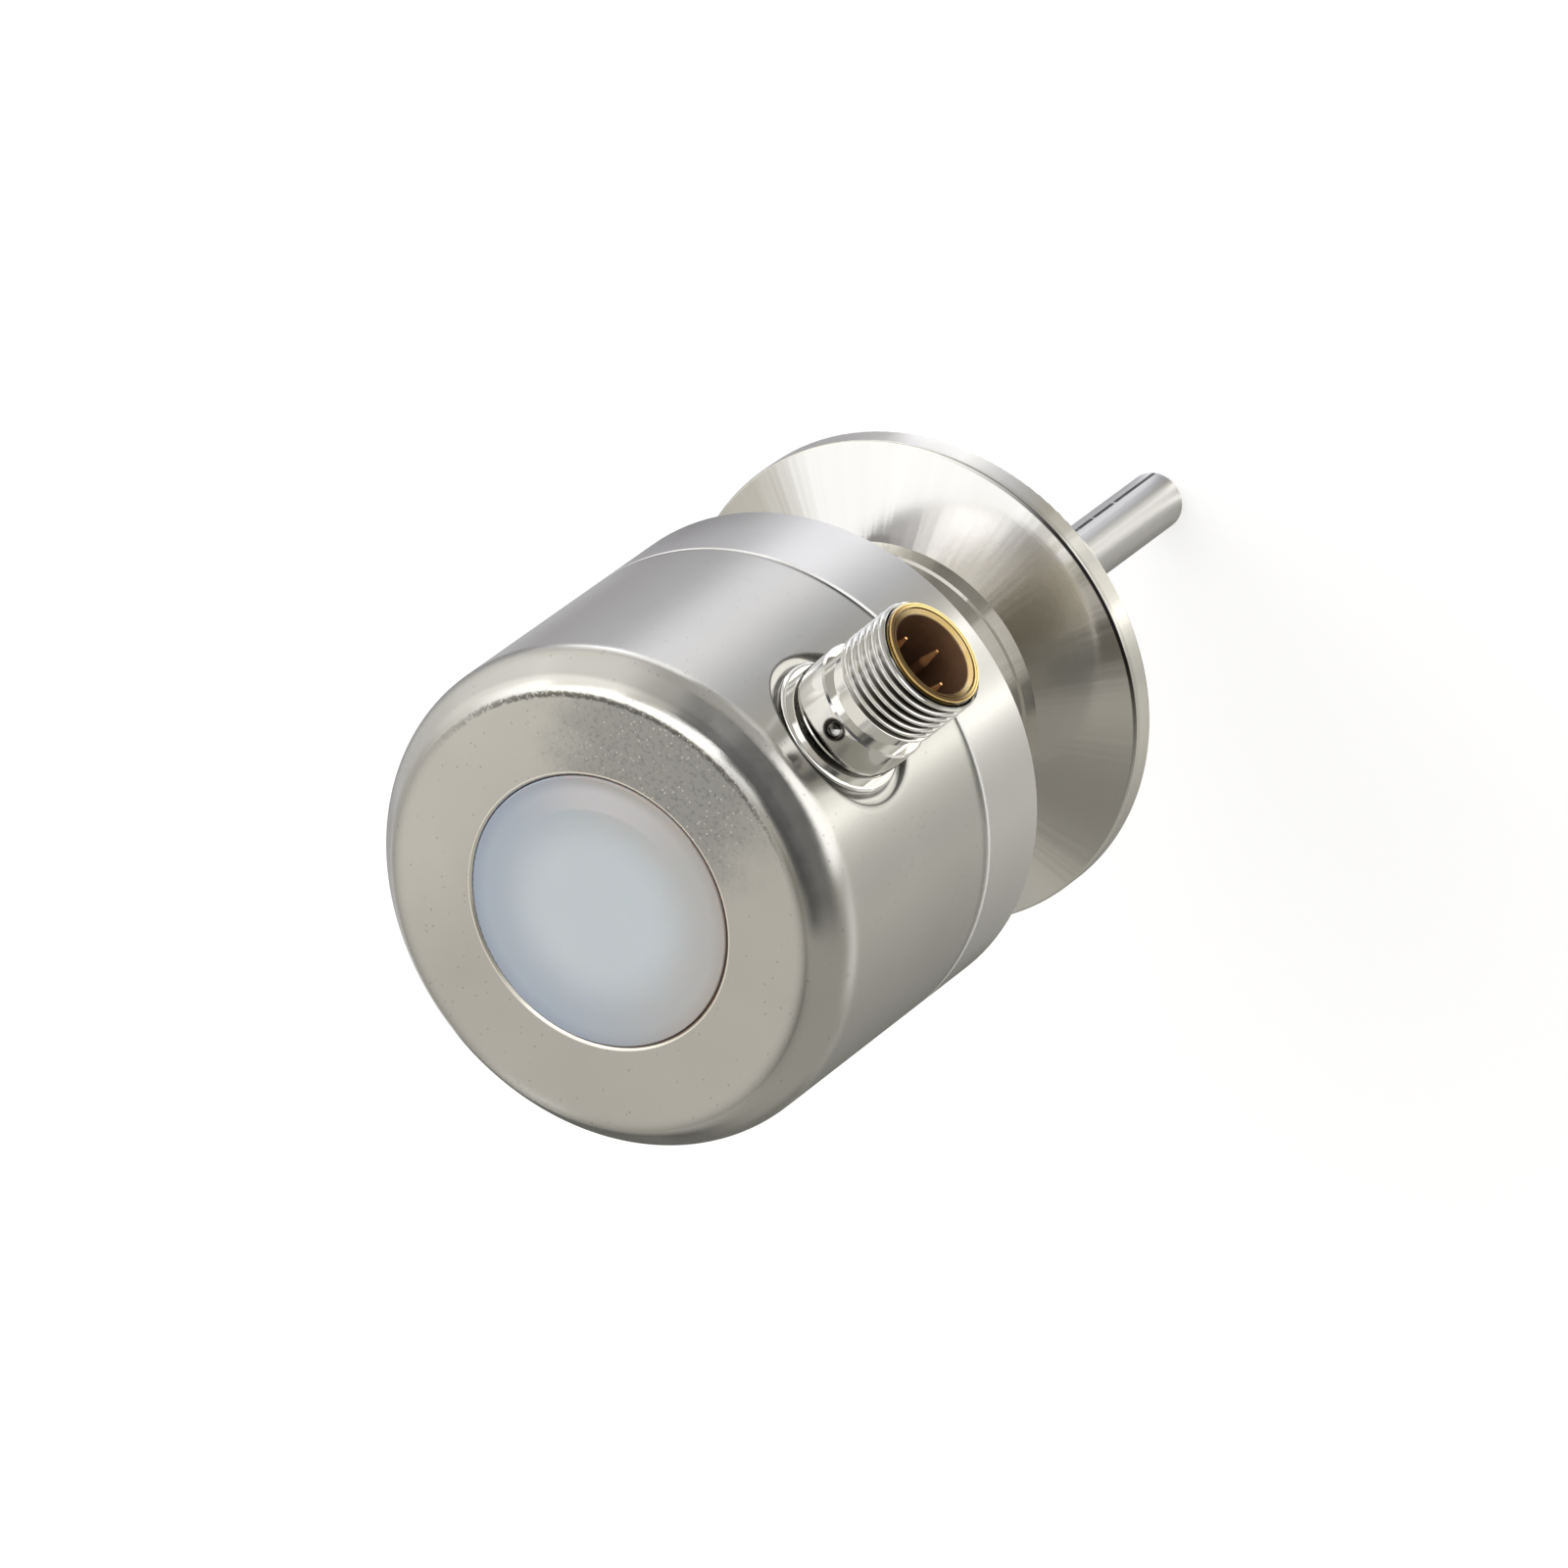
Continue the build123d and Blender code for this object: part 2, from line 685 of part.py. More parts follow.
# Header for the connector's wires, on top of the main board
with BuildPart() as lead_header:
    with BuildSketch(Plane.XY.offset(main_board_top)):
        with Locations((0, -header_offset)):
            Rectangle((pin_count - 1) * lead_spacing + 2 * (lead_radius + header_end), header_width)
    extrude(amount=header_height)
    with BuildSketch(Plane.XY.offset(header_top)):
        with Locations((0, -header_offset)):
            with GridLocations(lead_spacing, 1, pin_count, 1):
                Circle(lead_radius + slide)
    extrude(amount=-lead_insertion - loose, mode=Mode.SUBTRACT)

# Header for the element's wires, under the main board
with BuildPart() as sensor_header:
    with BuildSketch(Plane.XY.offset(sensor_header_floor)):
        Rectangle(sensor_header_size, sensor_header_size)
        with PolarLocations(sensor_lead_offset, element_lead_count, start_angle=element_lead_angle):
            Circle(element_lead_radius + slide, mode=Mode.SUBTRACT)
    extrude(amount=sensor_header_height)

# Processor on the main board
with BuildPart() as controller_chip:
    with BuildSketch(Plane.XY.offset(main_board_top)):
        with Locations((0, chip_offset)):
            RectangleRounded(chip_size, chip_size, seal_corner)
    extrude(amount=chip_height)

# Small parts in an arc round the processor
passive_arc = passive_step * passive_count
with BuildPart() as board_components:
    with BuildSketch(Plane.XY.offset(main_board_top)):
        with PolarLocations(passive_circle_radius, passive_count, passive_first, passive_arc):
            Rectangle(passive_width, passive_length)
    extrude(amount=passive_height)

pieces = {
    "cover": cover,
    "status_window": status_window,
    "window_seal": window_seal,
    "light_reflector": light_reflector,
    "status_leds": status_leds,
    "led_board": led_board,
    "board_screws": board_screws,
    "board_spacers": board_spacers,
    "main_board": main_board,
    "controller_chip": controller_chip,
    "board_components": board_components,
    "lead_header": lead_header,
    "sensor_header": sensor_header,
    "board_standoffs": board_standoffs,
    "connector_shell": connector_shell,
    "connector_seal": connector_seal,
    "connector_nut": connector_nut,
    "contact_carrier": contact_carrier,
    "contact_pins": contact_pins,
    "connector_leads": connector_leads,
    "adapter_ring": adapter_ring,
    "housing_seal": housing_seal,
    "neck_nut": neck_nut,
    "neck_seal": neck_seal,
    "clamp_ferrule": clamp_ferrule,
    "probe_tube": probe_tube,
    "thermal_filler": thermal_filler,
    "measuring_element": measuring_element,
    "element_insulator": element_insulator,
    "element_leads": element_leads,
}

os.makedirs("parts", exist_ok=True)
for piece_name, piece in pieces.items():
    piece.part.label = piece_name
    export_step(piece.part, f"parts/{piece_name}.step")
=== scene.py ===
import json
import math

import bpy
from mathutils import Matrix, Vector


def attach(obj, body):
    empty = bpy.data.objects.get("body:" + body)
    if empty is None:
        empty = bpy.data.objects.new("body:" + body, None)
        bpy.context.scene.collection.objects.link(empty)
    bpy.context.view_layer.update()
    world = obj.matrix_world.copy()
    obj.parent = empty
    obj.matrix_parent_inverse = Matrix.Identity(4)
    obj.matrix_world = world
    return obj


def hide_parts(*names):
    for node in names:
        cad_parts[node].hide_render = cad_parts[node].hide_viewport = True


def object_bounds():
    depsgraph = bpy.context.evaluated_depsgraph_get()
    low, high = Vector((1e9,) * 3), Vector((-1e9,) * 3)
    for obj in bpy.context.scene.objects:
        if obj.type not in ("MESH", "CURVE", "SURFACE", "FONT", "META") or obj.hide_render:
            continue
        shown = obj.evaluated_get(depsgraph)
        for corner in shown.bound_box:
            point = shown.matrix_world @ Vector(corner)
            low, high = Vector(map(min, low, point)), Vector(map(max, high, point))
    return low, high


# Looks of the temperature transmitter. The scene is in metres in the row frame: +Z runs up the
# axis of the housing to the status window, the probe points to -Z and the plug connector to -Y.

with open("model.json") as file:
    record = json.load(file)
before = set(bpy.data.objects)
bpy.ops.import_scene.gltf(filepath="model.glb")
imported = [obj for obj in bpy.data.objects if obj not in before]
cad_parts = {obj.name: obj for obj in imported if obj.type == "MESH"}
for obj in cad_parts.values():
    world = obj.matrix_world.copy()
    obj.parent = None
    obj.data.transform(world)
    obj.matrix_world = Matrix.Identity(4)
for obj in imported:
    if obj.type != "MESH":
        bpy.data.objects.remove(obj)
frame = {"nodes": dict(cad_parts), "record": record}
cad_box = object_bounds()
nodes = frame["nodes"]
mounts = {mount["name"]: mount for mount in frame["record"]["mounts"]}
mm = 0.001

Y_AXIS = 1
Z_AXIS = 2


def lowest(name, axis):
    """Where a node begins on an axis, in millimetres."""
    return min(vertex.co[axis] for vertex in nodes[name].data.vertices) / mm


# Places on the solids where the materials change, in millimetres
FACE_HEIGHT = cad_box[1][Z_AXIS] / mm
CREASE_RADIUS = 22.4
WINDOW_RADIUS = 13.85
SEAM_HEIGHT = lowest("cover", Z_AXIS)
RING_FOOT = lowest("adapter_ring", Z_AXIS)
RIM_CORNER = 2.3
RIM_RADIUS = mounts["clamp_rim"]["dims"]["r_mm"]
CONE_RADIUS = 16.2
PLUG_HEIGHT = mounts["plug_thread"]["pos_m"][Z_AXIS] / mm
POCKET_RADIUS = 8.2
POCKET_FRONT = -20.0
FLANGE_LINE_RADIUS = 7.2
DIMPLE_PLACE = (0.0, -28.7, 55.85)
DIMPLE_DOWN = (-0.79, 0.49, 0.36)
PLUG_MOUTH = lowest("contact_carrier", Y_AXIS)
PIN_TIP = lowest("contact_pins", Y_AXIS)
THREAD_FOOT = PLUG_MOUTH + 6.6
SOCKET_EDGE = 4.32
LIP_RADIUS = 4.76
INSERT_EDGE = 5.35


# Node trees

class Graph:
    """Writes a node tree in few words. A value is a number or an output socket."""

    def __init__(self, tree):
        self.tree = tree
        self.tree.nodes.clear()

    def add(self, kind, **settings):
        node = self.tree.nodes.new(kind)
        for name, value in settings.items():
            setattr(node, name, value)
        return node

    def feed(self, socket, value):
        if isinstance(value, bpy.types.NodeSocket):
            self.tree.links.new(value, socket)
        else:
            socket.default_value = value

    def math(self, operation, *values):
        node = self.add("ShaderNodeMath", operation=operation)
        for socket, value in zip(node.inputs, values):
            self.feed(socket, value)
        return node.outputs[0]

    def chain(self, operation, first, *others):
        for other in others:
            first = self.math(operation, first, other)
        return first

    def plus(self, *values):
        return self.chain("ADD", *values)

    def minus(self, first, second):
        return self.math("SUBTRACT", first, second)

    def times(self, *values):
        return self.chain("MULTIPLY", *values)

    def largest(self, *values):
        return self.chain("MAXIMUM", *values)

    def vector(self, operation, *values):
        node = self.add("ShaderNodeVectorMath", operation=operation)
        for socket, value in zip(node.inputs, values):
            self.feed(socket, value)
        if operation in ("DOT_PRODUCT", "LENGTH", "DISTANCE"):
            return node.outputs["Value"]
        return node.outputs["Vector"]

    def scale(self, vector, factor):
        node = self.add("ShaderNodeVectorMath", operation="SCALE")
        self.feed(node.inputs["Vector"], vector)
        self.feed(node.inputs["Scale"], factor)
        return node.outputs["Vector"]

    def split(self, vector):
        node = self.add("ShaderNodeSeparateXYZ")
        self.feed(node.inputs[0], vector)
        return node.outputs[0], node.outputs[1], node.outputs[2]

    def join(self, x, y, z):
        node = self.add("ShaderNodeCombineXYZ")
        for socket, value in zip(node.inputs, (x, y, z)):
            self.feed(socket, value)
        return node.outputs[0]

    def fade(self, value, start, end, low=0.0, high=1.0):
        """Goes smoothly from low to high while value goes from start to end."""
        node = self.add("ShaderNodeMapRange", interpolation_type="SMOOTHSTEP")
        for socket, number in zip(node.inputs, (value, start, end, low, high)):
            self.feed(socket, number)
        return node.outputs[0]

    def spread(self, value, low, high):
        """Maps 0 to 1 onto low to high."""
        node = self.add("ShaderNodeMapRange", clamp=False)
        for socket, number in zip(node.inputs, (value, 0.0, 1.0, low, high)):
            self.feed(socket, number)
        return node.outputs[0]

    def offset(self, value, middle):
        return self.math("ABSOLUTE", self.minus(value, middle))

    def near(self, value, middle, reach):
        """1 at the middle, 0 from reach on."""
        return self.fade(self.offset(value, middle), reach, 0.0)

    def band(self, value, middle, half, soft):
        """1 within half of the middle, with a soft edge."""
        return self.fade(self.offset(value, middle), half + soft, half - soft)

    def mix(self, factor, first, second):
        node = self.add("ShaderNodeMix", data_type="RGBA")
        self.feed(node.inputs["Factor"], factor)
        for socket, value in zip(node.inputs[6:8], (first, second)):
            self.feed(socket, value)
        return node.outputs[2]

    def paint(self, colour, *layers):
        """Lays tints over a colour in turn. Each layer has a mask, its strength and the tint."""
        for mask, strength, tint in layers:
            colour = self.mix(self.times(mask, strength), colour, opaque(*tint))
        return colour

    def noise(self, place, scale, detail=2.0, roughness=0.5):
        node = self.add("ShaderNodeTexNoise")
        self.feed(node.inputs["Vector"], place)
        self.feed(node.inputs["Scale"], scale)
        self.feed(node.inputs["Detail"], detail)
        self.feed(node.inputs["Roughness"], roughness)
        return node.outputs[0]

    def cells(self, place, scale):
        """Distance to the nearest cell's middle, and a random number for that cell."""
        node = self.add("ShaderNodeTexVoronoi")
        self.feed(node.inputs["Vector"], place)
        self.feed(node.inputs["Scale"], scale)
        random = self.split(node.outputs["Color"])[0]
        return node.outputs["Distance"], random

    def millimetres(self):
        """The point of the surface in the row frame, in millimetres."""
        place = self.add("ShaderNodeTexCoord").outputs["Object"]
        return self.scale(place, 1 / mm)

    def bump(self, height, depth, normal=None):
        """Tilts the surface by a height of 0 to 1 that stands for this depth in millimetres."""
        node = self.add("ShaderNodeBump")
        self.feed(node.inputs["Height"], height)
        self.feed(node.inputs["Distance"], depth * mm)
        if normal is not None:
            self.feed(node.inputs["Normal"], normal)
        return node.outputs[0]


def opaque(red, green, blue):
    return (red, green, blue, 1.0)


def start_material(name, **constants):
    """A material with a Principled shader, whose plain numbers are set on its own sockets."""
    material = bpy.data.materials.new(name)
    material.use_nodes = True
    graph = Graph(material.node_tree)
    shader = graph.add("ShaderNodeBsdfPrincipled")
    output = graph.add("ShaderNodeOutputMaterial")
    graph.feed(output.inputs["Surface"], shader.outputs[0])
    for label, value in constants.items():
        shader.inputs[label.replace("_", " ")].default_value = value
    return material, graph, shader


# Places on the surface and marks on it. Lengths are in millimetres and turns in radians.

def axis_radius(graph, x, y):
    """Distance from the housing's axis."""
    return graph.vector("LENGTH", graph.join(x, y, 0.0))


def turn_of(graph, x, y):
    """Azimuth from -Y towards +X."""
    return graph.math("ARCTAN2", x, graph.times(y, -1.0))


def plug_radius(graph, x, z):
    """Distance from the plug connector's axis."""
    return graph.vector("LENGTH", graph.join(x, graph.minus(z, PLUG_HEIGHT), 0.0))


SPOT_EDGE = 0.32
SPOT_CORE = 0.14


def speckles(graph, place, per_millimetre, share):
    """Small round spots: 1 in a spot, 0 between them, in about this share of the cells."""
    distance, chance = graph.cells(place, per_millimetre)
    spot = graph.fade(distance, SPOT_EDGE, SPOT_CORE)
    return graph.times(spot, graph.fade(chance, 1.02 - share, 1.04 - share))


# Housing

PATCH_PLACE = (7.0, -16.5, FACE_HEIGHT)
PATCH_RADIUS = 15.5
PATCH_CORE = 6.0
CRISP_EDGE = 0.15 * mm
WORN_EDGE = 1.9 * mm


def cover_shade_lines(graph, x, y, z):
    """Painted shade lines on the cover: above the seam on one side, round the pocket and round the flange
    in it.
    """
    side = graph.near(turn_of(graph, x, y), 0.42, 0.5)
    seam = graph.times(graph.near(z, SEAM_HEIGHT + 0.4, 0.5), side)
    radius = plug_radius(graph, x, z)
    pocket = graph.near(radius, POCKET_RADIUS, 0.26)
    flange = graph.near(radius, FLANGE_LINE_RADIUS, 0.3)
    front = graph.fade(y, POCKET_FRONT, POCKET_FRONT - 1.0, 0.0, 0.8)
    return graph.largest(seam, graph.times(graph.largest(pocket, flange), front))


def face_shade_patch(graph, place, face):
    """Ragged patch on the face, on the connector's side: rougher, and darker with painted shade."""
    distance = graph.vector("DISTANCE", place, PATCH_PLACE)
    ragged = graph.plus(distance, graph.spread(graph.noise(place, 0.35, 3.0), -3.0, 3.0))
    return graph.times(graph.fade(ragged, PATCH_RADIUS, PATCH_CORE), face)


def crease_line(graph, place, radius, turn):
    """Ragged dark line just inside the crease, from the connector round to +X."""
    wobble = graph.plus(radius, graph.spread(graph.noise(place, 1.6, 3.0), -0.3, 0.3))
    line = graph.band(wobble, CREASE_RADIUS - 0.35, 0.27, 0.15)
    gaps = graph.fade(graph.noise(place, 3.2, 4.0, 0.8), 0.38, 0.5)
    return graph.times(line, graph.band(turn, 0.65, 0.85, 0.35), gaps)


def worn_normal(graph, radius, turn):
    """Rounds the cover's edges, more on the sides where the photograph shows the crease worn."""
    worn_side = graph.minus(1.0, graph.band(turn, 0.45, 0.75, 0.35))
    worn = graph.times(worn_side, graph.fade(radius, 17.0, 20.0))
    rounded = graph.add("ShaderNodeBevel", samples=4)
    graph.feed(rounded.inputs["Radius"], graph.spread(worn, CRISP_EDGE, WORN_EDGE))
    return rounded.outputs[0]


def blasted_steel():
    """Satin housing: fine grain, a few pits, a rougher patch on the face and a rubbed crease, with painted
    shade and painted highlights on the face, the crease, the window's edge, the seam and the pocket.
    """
    material, graph, shader = start_material("blasted_steel", Metallic=1.0)
    place = graph.millimetres()
    x, y, z = graph.split(place)
    radius = axis_radius(graph, x, y)
    turn = turn_of(graph, x, y)
    face = graph.fade(z, FACE_HEIGHT - 0.25, FACE_HEIGHT - 0.05)
    # Painted shade: the face darker towards -X.
    face_shade_side = graph.times(graph.fade(x, 21.0, 1.0), face)
    patch = face_shade_patch(graph, place, face)
    mottles = graph.fade(graph.noise(place, 2.4, 3.0, 0.7), 0.5, 0.66)
    dark_spots = graph.largest(
        graph.times(mottles, patch, 0.4),
        crease_line(graph, place, radius, turn),
        graph.times(speckles(graph, place, 2.2, 0.1), 0.35),
    )
    bright_spots = graph.times(speckles(graph, place, 2.4, 0.3), patch)
    # Painted highlight: the band just outside the crease lighter on one side.
    crease_band = graph.band(radius, CREASE_RADIUS + 0.45, 0.7, 0.2)
    crease_highlight = graph.times(crease_band, graph.band(turn, 0.62, 0.75, 0.45))
    # Painted highlight: a light line at the edge of the window's hole.
    window_edge_highlight = graph.band(radius, WINDOW_RADIUS + 0.2, 0.16, 0.06)

    clouds = graph.noise(place, 0.11, 2.0)
    colour = graph.paint(
        graph.mix(clouds, opaque(0.56, 0.55, 0.525), opaque(0.63, 0.62, 0.595)),
        (face_shade_side, 0.2, (0.10, 0.095, 0.085)),
        (patch, 0.4, (0.14, 0.155, 0.17)),
        (crease_highlight, 1.0, (0.80, 0.79, 0.75)),
        (dark_spots, 0.85, (0.10, 0.098, 0.092)),
        (bright_spots, 0.6, (0.85, 0.84, 0.80)),
        (window_edge_highlight, 0.85, (0.97, 0.94, 0.84)),
        (cover_shade_lines(graph, x, y, z), 1.0, (0.06, 0.058, 0.054)),
    )
    graph.feed(shader.inputs["Base Color"], colour)

    rubbed = graph.near(radius, CREASE_RADIUS + 0.7, 1.0)
    rough = graph.spread(graph.noise(place, 0.6, 3.0), 0.18, 0.25)
    rough = graph.plus(rough, graph.times(patch, 0.1))
    rough = graph.minus(rough, graph.times(rubbed, 0.08))
    graph.feed(shader.inputs["Roughness"], rough)
    grain = graph.minus(graph.noise(place, 5.0, 3.0, 0.6), graph.times(dark_spots, 1.2))
    normal = worn_normal(graph, radius, turn)
    graph.feed(shader.inputs["Normal"], graph.bump(grain, 0.005, normal))
    return material


def turned_steel():
    """Finely turned ring: marks round the axis, a painted highlight at the seam and painted shade on the
    underside.
    """
    material, graph, shader = start_material("turned_steel")
    place = graph.millimetres()
    x, y, z = graph.split(place)
    turn = turn_of(graph, x, y)
    stretched = graph.join(graph.times(x, 0.05), graph.times(y, 0.05), z)
    marks = graph.noise(stretched, 9.0, 3.0, 0.6)
    # Painted highlight: a near-white line just below the seam, on one side.
    seam_highlight = graph.times(graph.band(z, SEAM_HEIGHT - 0.38, 0.2, 0.14), graph.fade(turn, -0.1, -0.3))
    # Painted shade on the underside, on the connector's side.
    underside = graph.fade(z, RING_FOOT + 0.2, RING_FOOT + 0.05)
    underside_shade = graph.times(underside, graph.band(turn, -0.15, 0.3, 0.2))
    clouds = graph.noise(place, 0.2, 2.0)
    colour = graph.paint(
        graph.mix(clouds, opaque(0.70, 0.69, 0.675), opaque(0.75, 0.742, 0.73)),
        (seam_highlight, 1.0, (0.97, 0.97, 0.96)),
        (underside_shade, 0.7, (0.34, 0.30, 0.23)),
    )
    graph.feed(shader.inputs["Base Color"], colour)
    graph.feed(shader.inputs["Metallic"], graph.spread(seam_highlight, 1.0, 0.2))
    graph.feed(shader.inputs["Roughness"], graph.spread(marks, 0.17, 0.27))
    graph.feed(shader.inputs["Normal"], graph.bump(marks, 0.0015))
    return material


# Ferrule and probe

def rim_corner_dark_reflection(graph, radius, z, turn):
    """Painted dark reflection: a line along the outer corner of the clamp rim, on the connector's side."""
    corner = graph.band(radius, RIM_RADIUS - 0.2, 0.16, 0.08)
    upper = graph.fade(z, RIM_CORNER - 0.2, RIM_CORNER)
    return graph.times(corner, upper, graph.band(turn, -0.2, 0.6, 0.35))


def probe_dark_reflection(graph, z, turn, probe):
    """Painted dark reflection: a thin streak along the probe, broken here and there."""
    broken = graph.fade(graph.noise(graph.join(z, 0.0, 0.0), 0.6, 3.0), 0.36, 0.44)
    return graph.times(graph.band(turn, 0.86, 0.075, 0.03), probe, broken)


def polished_steel():
    """Polished ferrule and probe: faint rings from turning, and waves that fan out from the axis."""
    material, graph, shader = start_material("polished_steel", Metallic=1.0, Anisotropic=0.35)
    place = graph.millimetres()
    x, y, z = graph.split(place)
    radius = axis_radius(graph, x, y)
    turn = turn_of(graph, x, y)
    rings = graph.noise(graph.join(radius, z, 0.0), 7.0, 3.0, 0.6)
    spoke = graph.join(graph.math("DIVIDE", x, radius), graph.math("DIVIDE", y, radius), 0.0)
    fans = graph.noise(spoke, 5.0, 3.0, 0.6)
    probe = graph.fade(z, 0.0, -0.2)
    # Painted dark reflections along the rim's corner and the probe.
    lines = graph.largest(rim_corner_dark_reflection(graph, radius, z, turn), probe_dark_reflection(graph, z, turn, probe))
    cool = graph.times(probe, graph.minus(1.0, lines))
    colour = graph.paint(
        graph.mix(fans, opaque(0.68, 0.66, 0.615), opaque(0.76, 0.75, 0.715)),
        (lines, 1.0, (0.03, 0.029, 0.028)),
        (cool, 0.7, (0.69, 0.69, 0.70)),
    )
    graph.feed(shader.inputs["Base Color"], colour)

    clear_side = graph.spread(graph.band(turn, -0.12, 0.4, 0.15), 1.0, 0.1)
    cone = graph.times(graph.fade(radius, CONE_RADIUS, CONE_RADIUS + 0.8), clear_side)
    rough = graph.spread(graph.noise(place, 0.16, 3.0), 0.05, 0.11)
    rough = graph.plus(rough, graph.times(cone, 0.08), graph.times(probe, 0.24))
    graph.feed(shader.inputs["Roughness"], rough)
    waves = graph.bump(fans, 0.05)
    graph.feed(shader.inputs["Normal"], graph.bump(rings, 0.0012, waves))
    tangent = graph.add("ShaderNodeTangent", direction_type="RADIAL", axis="Z")
    graph.feed(shader.inputs["Tangent"], tangent.outputs[0])
    return material


# Plug connector

def thread_root_shade(graph, x, y, z):
    """Painted shade in the roots of the thread, most of all on the side away from the key lamp."""
    beyond_foot = graph.fade(y, THREAD_FOOT - 0.1, THREAD_FOOT - 0.3)
    deep = graph.fade(plug_radius(graph, x, z), 5.92, 5.66)
    return graph.times(deep, beyond_foot, graph.fade(x, 4.5, -1.0, 0.35, 1.0))


def dimple_shades(graph, place):
    """Masks of the collar's dimple in the photograph: painted shade on the dark ring and upper half, and a
    painted highlight on the lower half.
    """
    distance = graph.vector("DISTANCE", place, DIMPLE_PLACE)
    ring = graph.band(distance, 1.0, 0.2, 0.14)
    inside = graph.fade(distance, 0.9, 0.75)
    drop = graph.vector("DOT_PRODUCT", graph.vector("SUBTRACT", place, DIMPLE_PLACE), DIMPLE_DOWN)
    upper_half = graph.times(inside, graph.fade(drop, 0.1, -0.1))
    lower_half = graph.times(inside, graph.fade(drop, -0.1, 0.1))
    return graph.largest(ring, upper_half), lower_half


def nickel():
    """Bright nickel plate with slight waves and hair marks, with painted shade in the thread's roots and
    the dimple and a painted highlight in the dimple.
    """
    material, graph, shader = start_material("nickel")
    place = graph.millimetres()
    x, y, z = graph.split(place)
    dimple_painted_shade, dimple_painted_highlight = dimple_shades(graph, place)
    roots = graph.times(thread_root_shade(graph, x, y, z), 0.9)
    waves = graph.noise(place, 0.9, 2.0)
    hairs = graph.noise(place, 6.0, 2.0)
    colour = graph.paint(
        graph.mix(waves, opaque(0.80, 0.79, 0.76), opaque(0.86, 0.85, 0.825)),
        (dimple_painted_highlight, 1.0, (0.97, 0.97, 0.96)),
        (graph.largest(roots, dimple_painted_shade), 1.0, (0.05, 0.046, 0.04)),
    )
    graph.feed(shader.inputs["Base Color"], colour)
    graph.feed(shader.inputs["Metallic"], graph.spread(dimple_painted_highlight, 1.0, 0.25))
    graph.feed(shader.inputs["Roughness"], graph.spread(hairs, 0.03, 0.07))
    graph.feed(shader.inputs["Normal"], graph.bump(waves, 0.006))
    return material


def contact():
    """Gold-plated pins, bright at the tips, with painted shade down in the socket."""
    material, graph, shader = start_material("contact")
    place = graph.millimetres()
    tint = graph.noise(place, 2.5, 2.0)
    # Painted shade: the pins darker down in the socket.
    deep = graph.fade(graph.split(place)[1], PIN_TIP + 1.3, PIN_TIP + 2.4)
    colour = graph.paint(
        graph.mix(tint, opaque(0.92, 0.43, 0.16), opaque(0.97, 0.58, 0.27)),
        (deep, 1.0, (0.20, 0.11, 0.065)),
    )
    graph.feed(shader.inputs["Base Color"], colour)
    graph.feed(shader.inputs["Metallic"], graph.spread(deep, 0.6, 0.1))
    graph.feed(shader.inputs["Roughness"], graph.spread(tint, 0.14, 0.24))
    graph.feed(shader.inputs["Normal"], graph.bump(graph.noise(place, 12.0), 0.002))
    return material


def insert_groove_shade(graph, radius, y, shaded):
    """Painted shade in the grooves of the amber insert's rim, and on its rim and wall on the shaded side.
    """
    dark_face = graph.band(radius, 5.06, 0.24, 0.04)
    dark_wall = graph.band(y, PLUG_MOUTH + 0.22, 0.08, 0.03)
    dark_wall = graph.times(dark_wall, graph.fade(radius, INSERT_EDGE, INSERT_EDGE + 0.03))
    dark_side = graph.times(graph.largest(dark_face, dark_wall), shaded)
    return graph.largest(graph.near(radius, 4.86, 0.2), graph.near(radius, 5.2, 0.09), dark_side)


def amber_plastic():
    """Amber insert: bright on its rim, with painted shade on the side towards the window and deep brown
    painted shade in the socket.
    """
    material, graph, shader = start_material("amber_plastic", IOR=1.6, Coat_Roughness=0.08)
    place = graph.millimetres()
    x, y, z = graph.split(place)
    radius = plug_radius(graph, x, z)
    tone = graph.noise(place, 1.2, 3.0)
    # Painted shade on the side towards the window: rim and lip darker, with less coat and specular there
    # and a rougher lip.
    shaded = graph.fade(z, PLUG_HEIGHT - 2.5, PLUG_HEIGHT + 2.0)
    rim = graph.paint(
        graph.mix(tone, opaque(0.92, 0.64, 0.20), opaque(0.99, 0.78, 0.34)),
        (shaded, 0.6, (0.30, 0.16, 0.05)),
        (insert_groove_shade(graph, radius, y, shaded), 0.92, (0.04, 0.018, 0.008)),
    )
    lip = graph.mix(shaded, opaque(0.97, 0.70, 0.28), opaque(0.07, 0.035, 0.015))
    rim = graph.mix(graph.fade(radius, LIP_RADIUS, LIP_RADIUS - 0.08), rim, lip)
    # Painted shade: deep brown down in the socket.
    inside = graph.mix(tone, opaque(0.14, 0.078, 0.05), opaque(0.21, 0.115, 0.062))
    colour = graph.mix(graph.fade(radius, SOCKET_EDGE, SOCKET_EDGE + 0.1), inside, rim)
    graph.feed(shader.inputs["Base Color"], colour)
    graph.feed(shader.inputs["Metallic"], graph.fade(radius, LIP_RADIUS, LIP_RADIUS + 0.14, 0.0, 0.85))
    graph.feed(shader.inputs["Coat Weight"], graph.spread(shaded, 0.6, 0.0))
    graph.feed(shader.inputs["Specular IOR Level"], graph.spread(shaded, 0.5, 0.1))
    dull_lip = graph.times(shaded, graph.fade(radius, LIP_RADIUS, LIP_RADIUS - 0.08, 0.0, 0.5))
    rough = graph.plus(graph.spread(graph.noise(place, 3.0), 0.07, 0.16), dull_lip)
    graph.feed(shader.inputs["Roughness"], rough)
    graph.feed(shader.inputs["Normal"], graph.bump(graph.noise(place, 2.0), 0.006))
    return material


# Status window

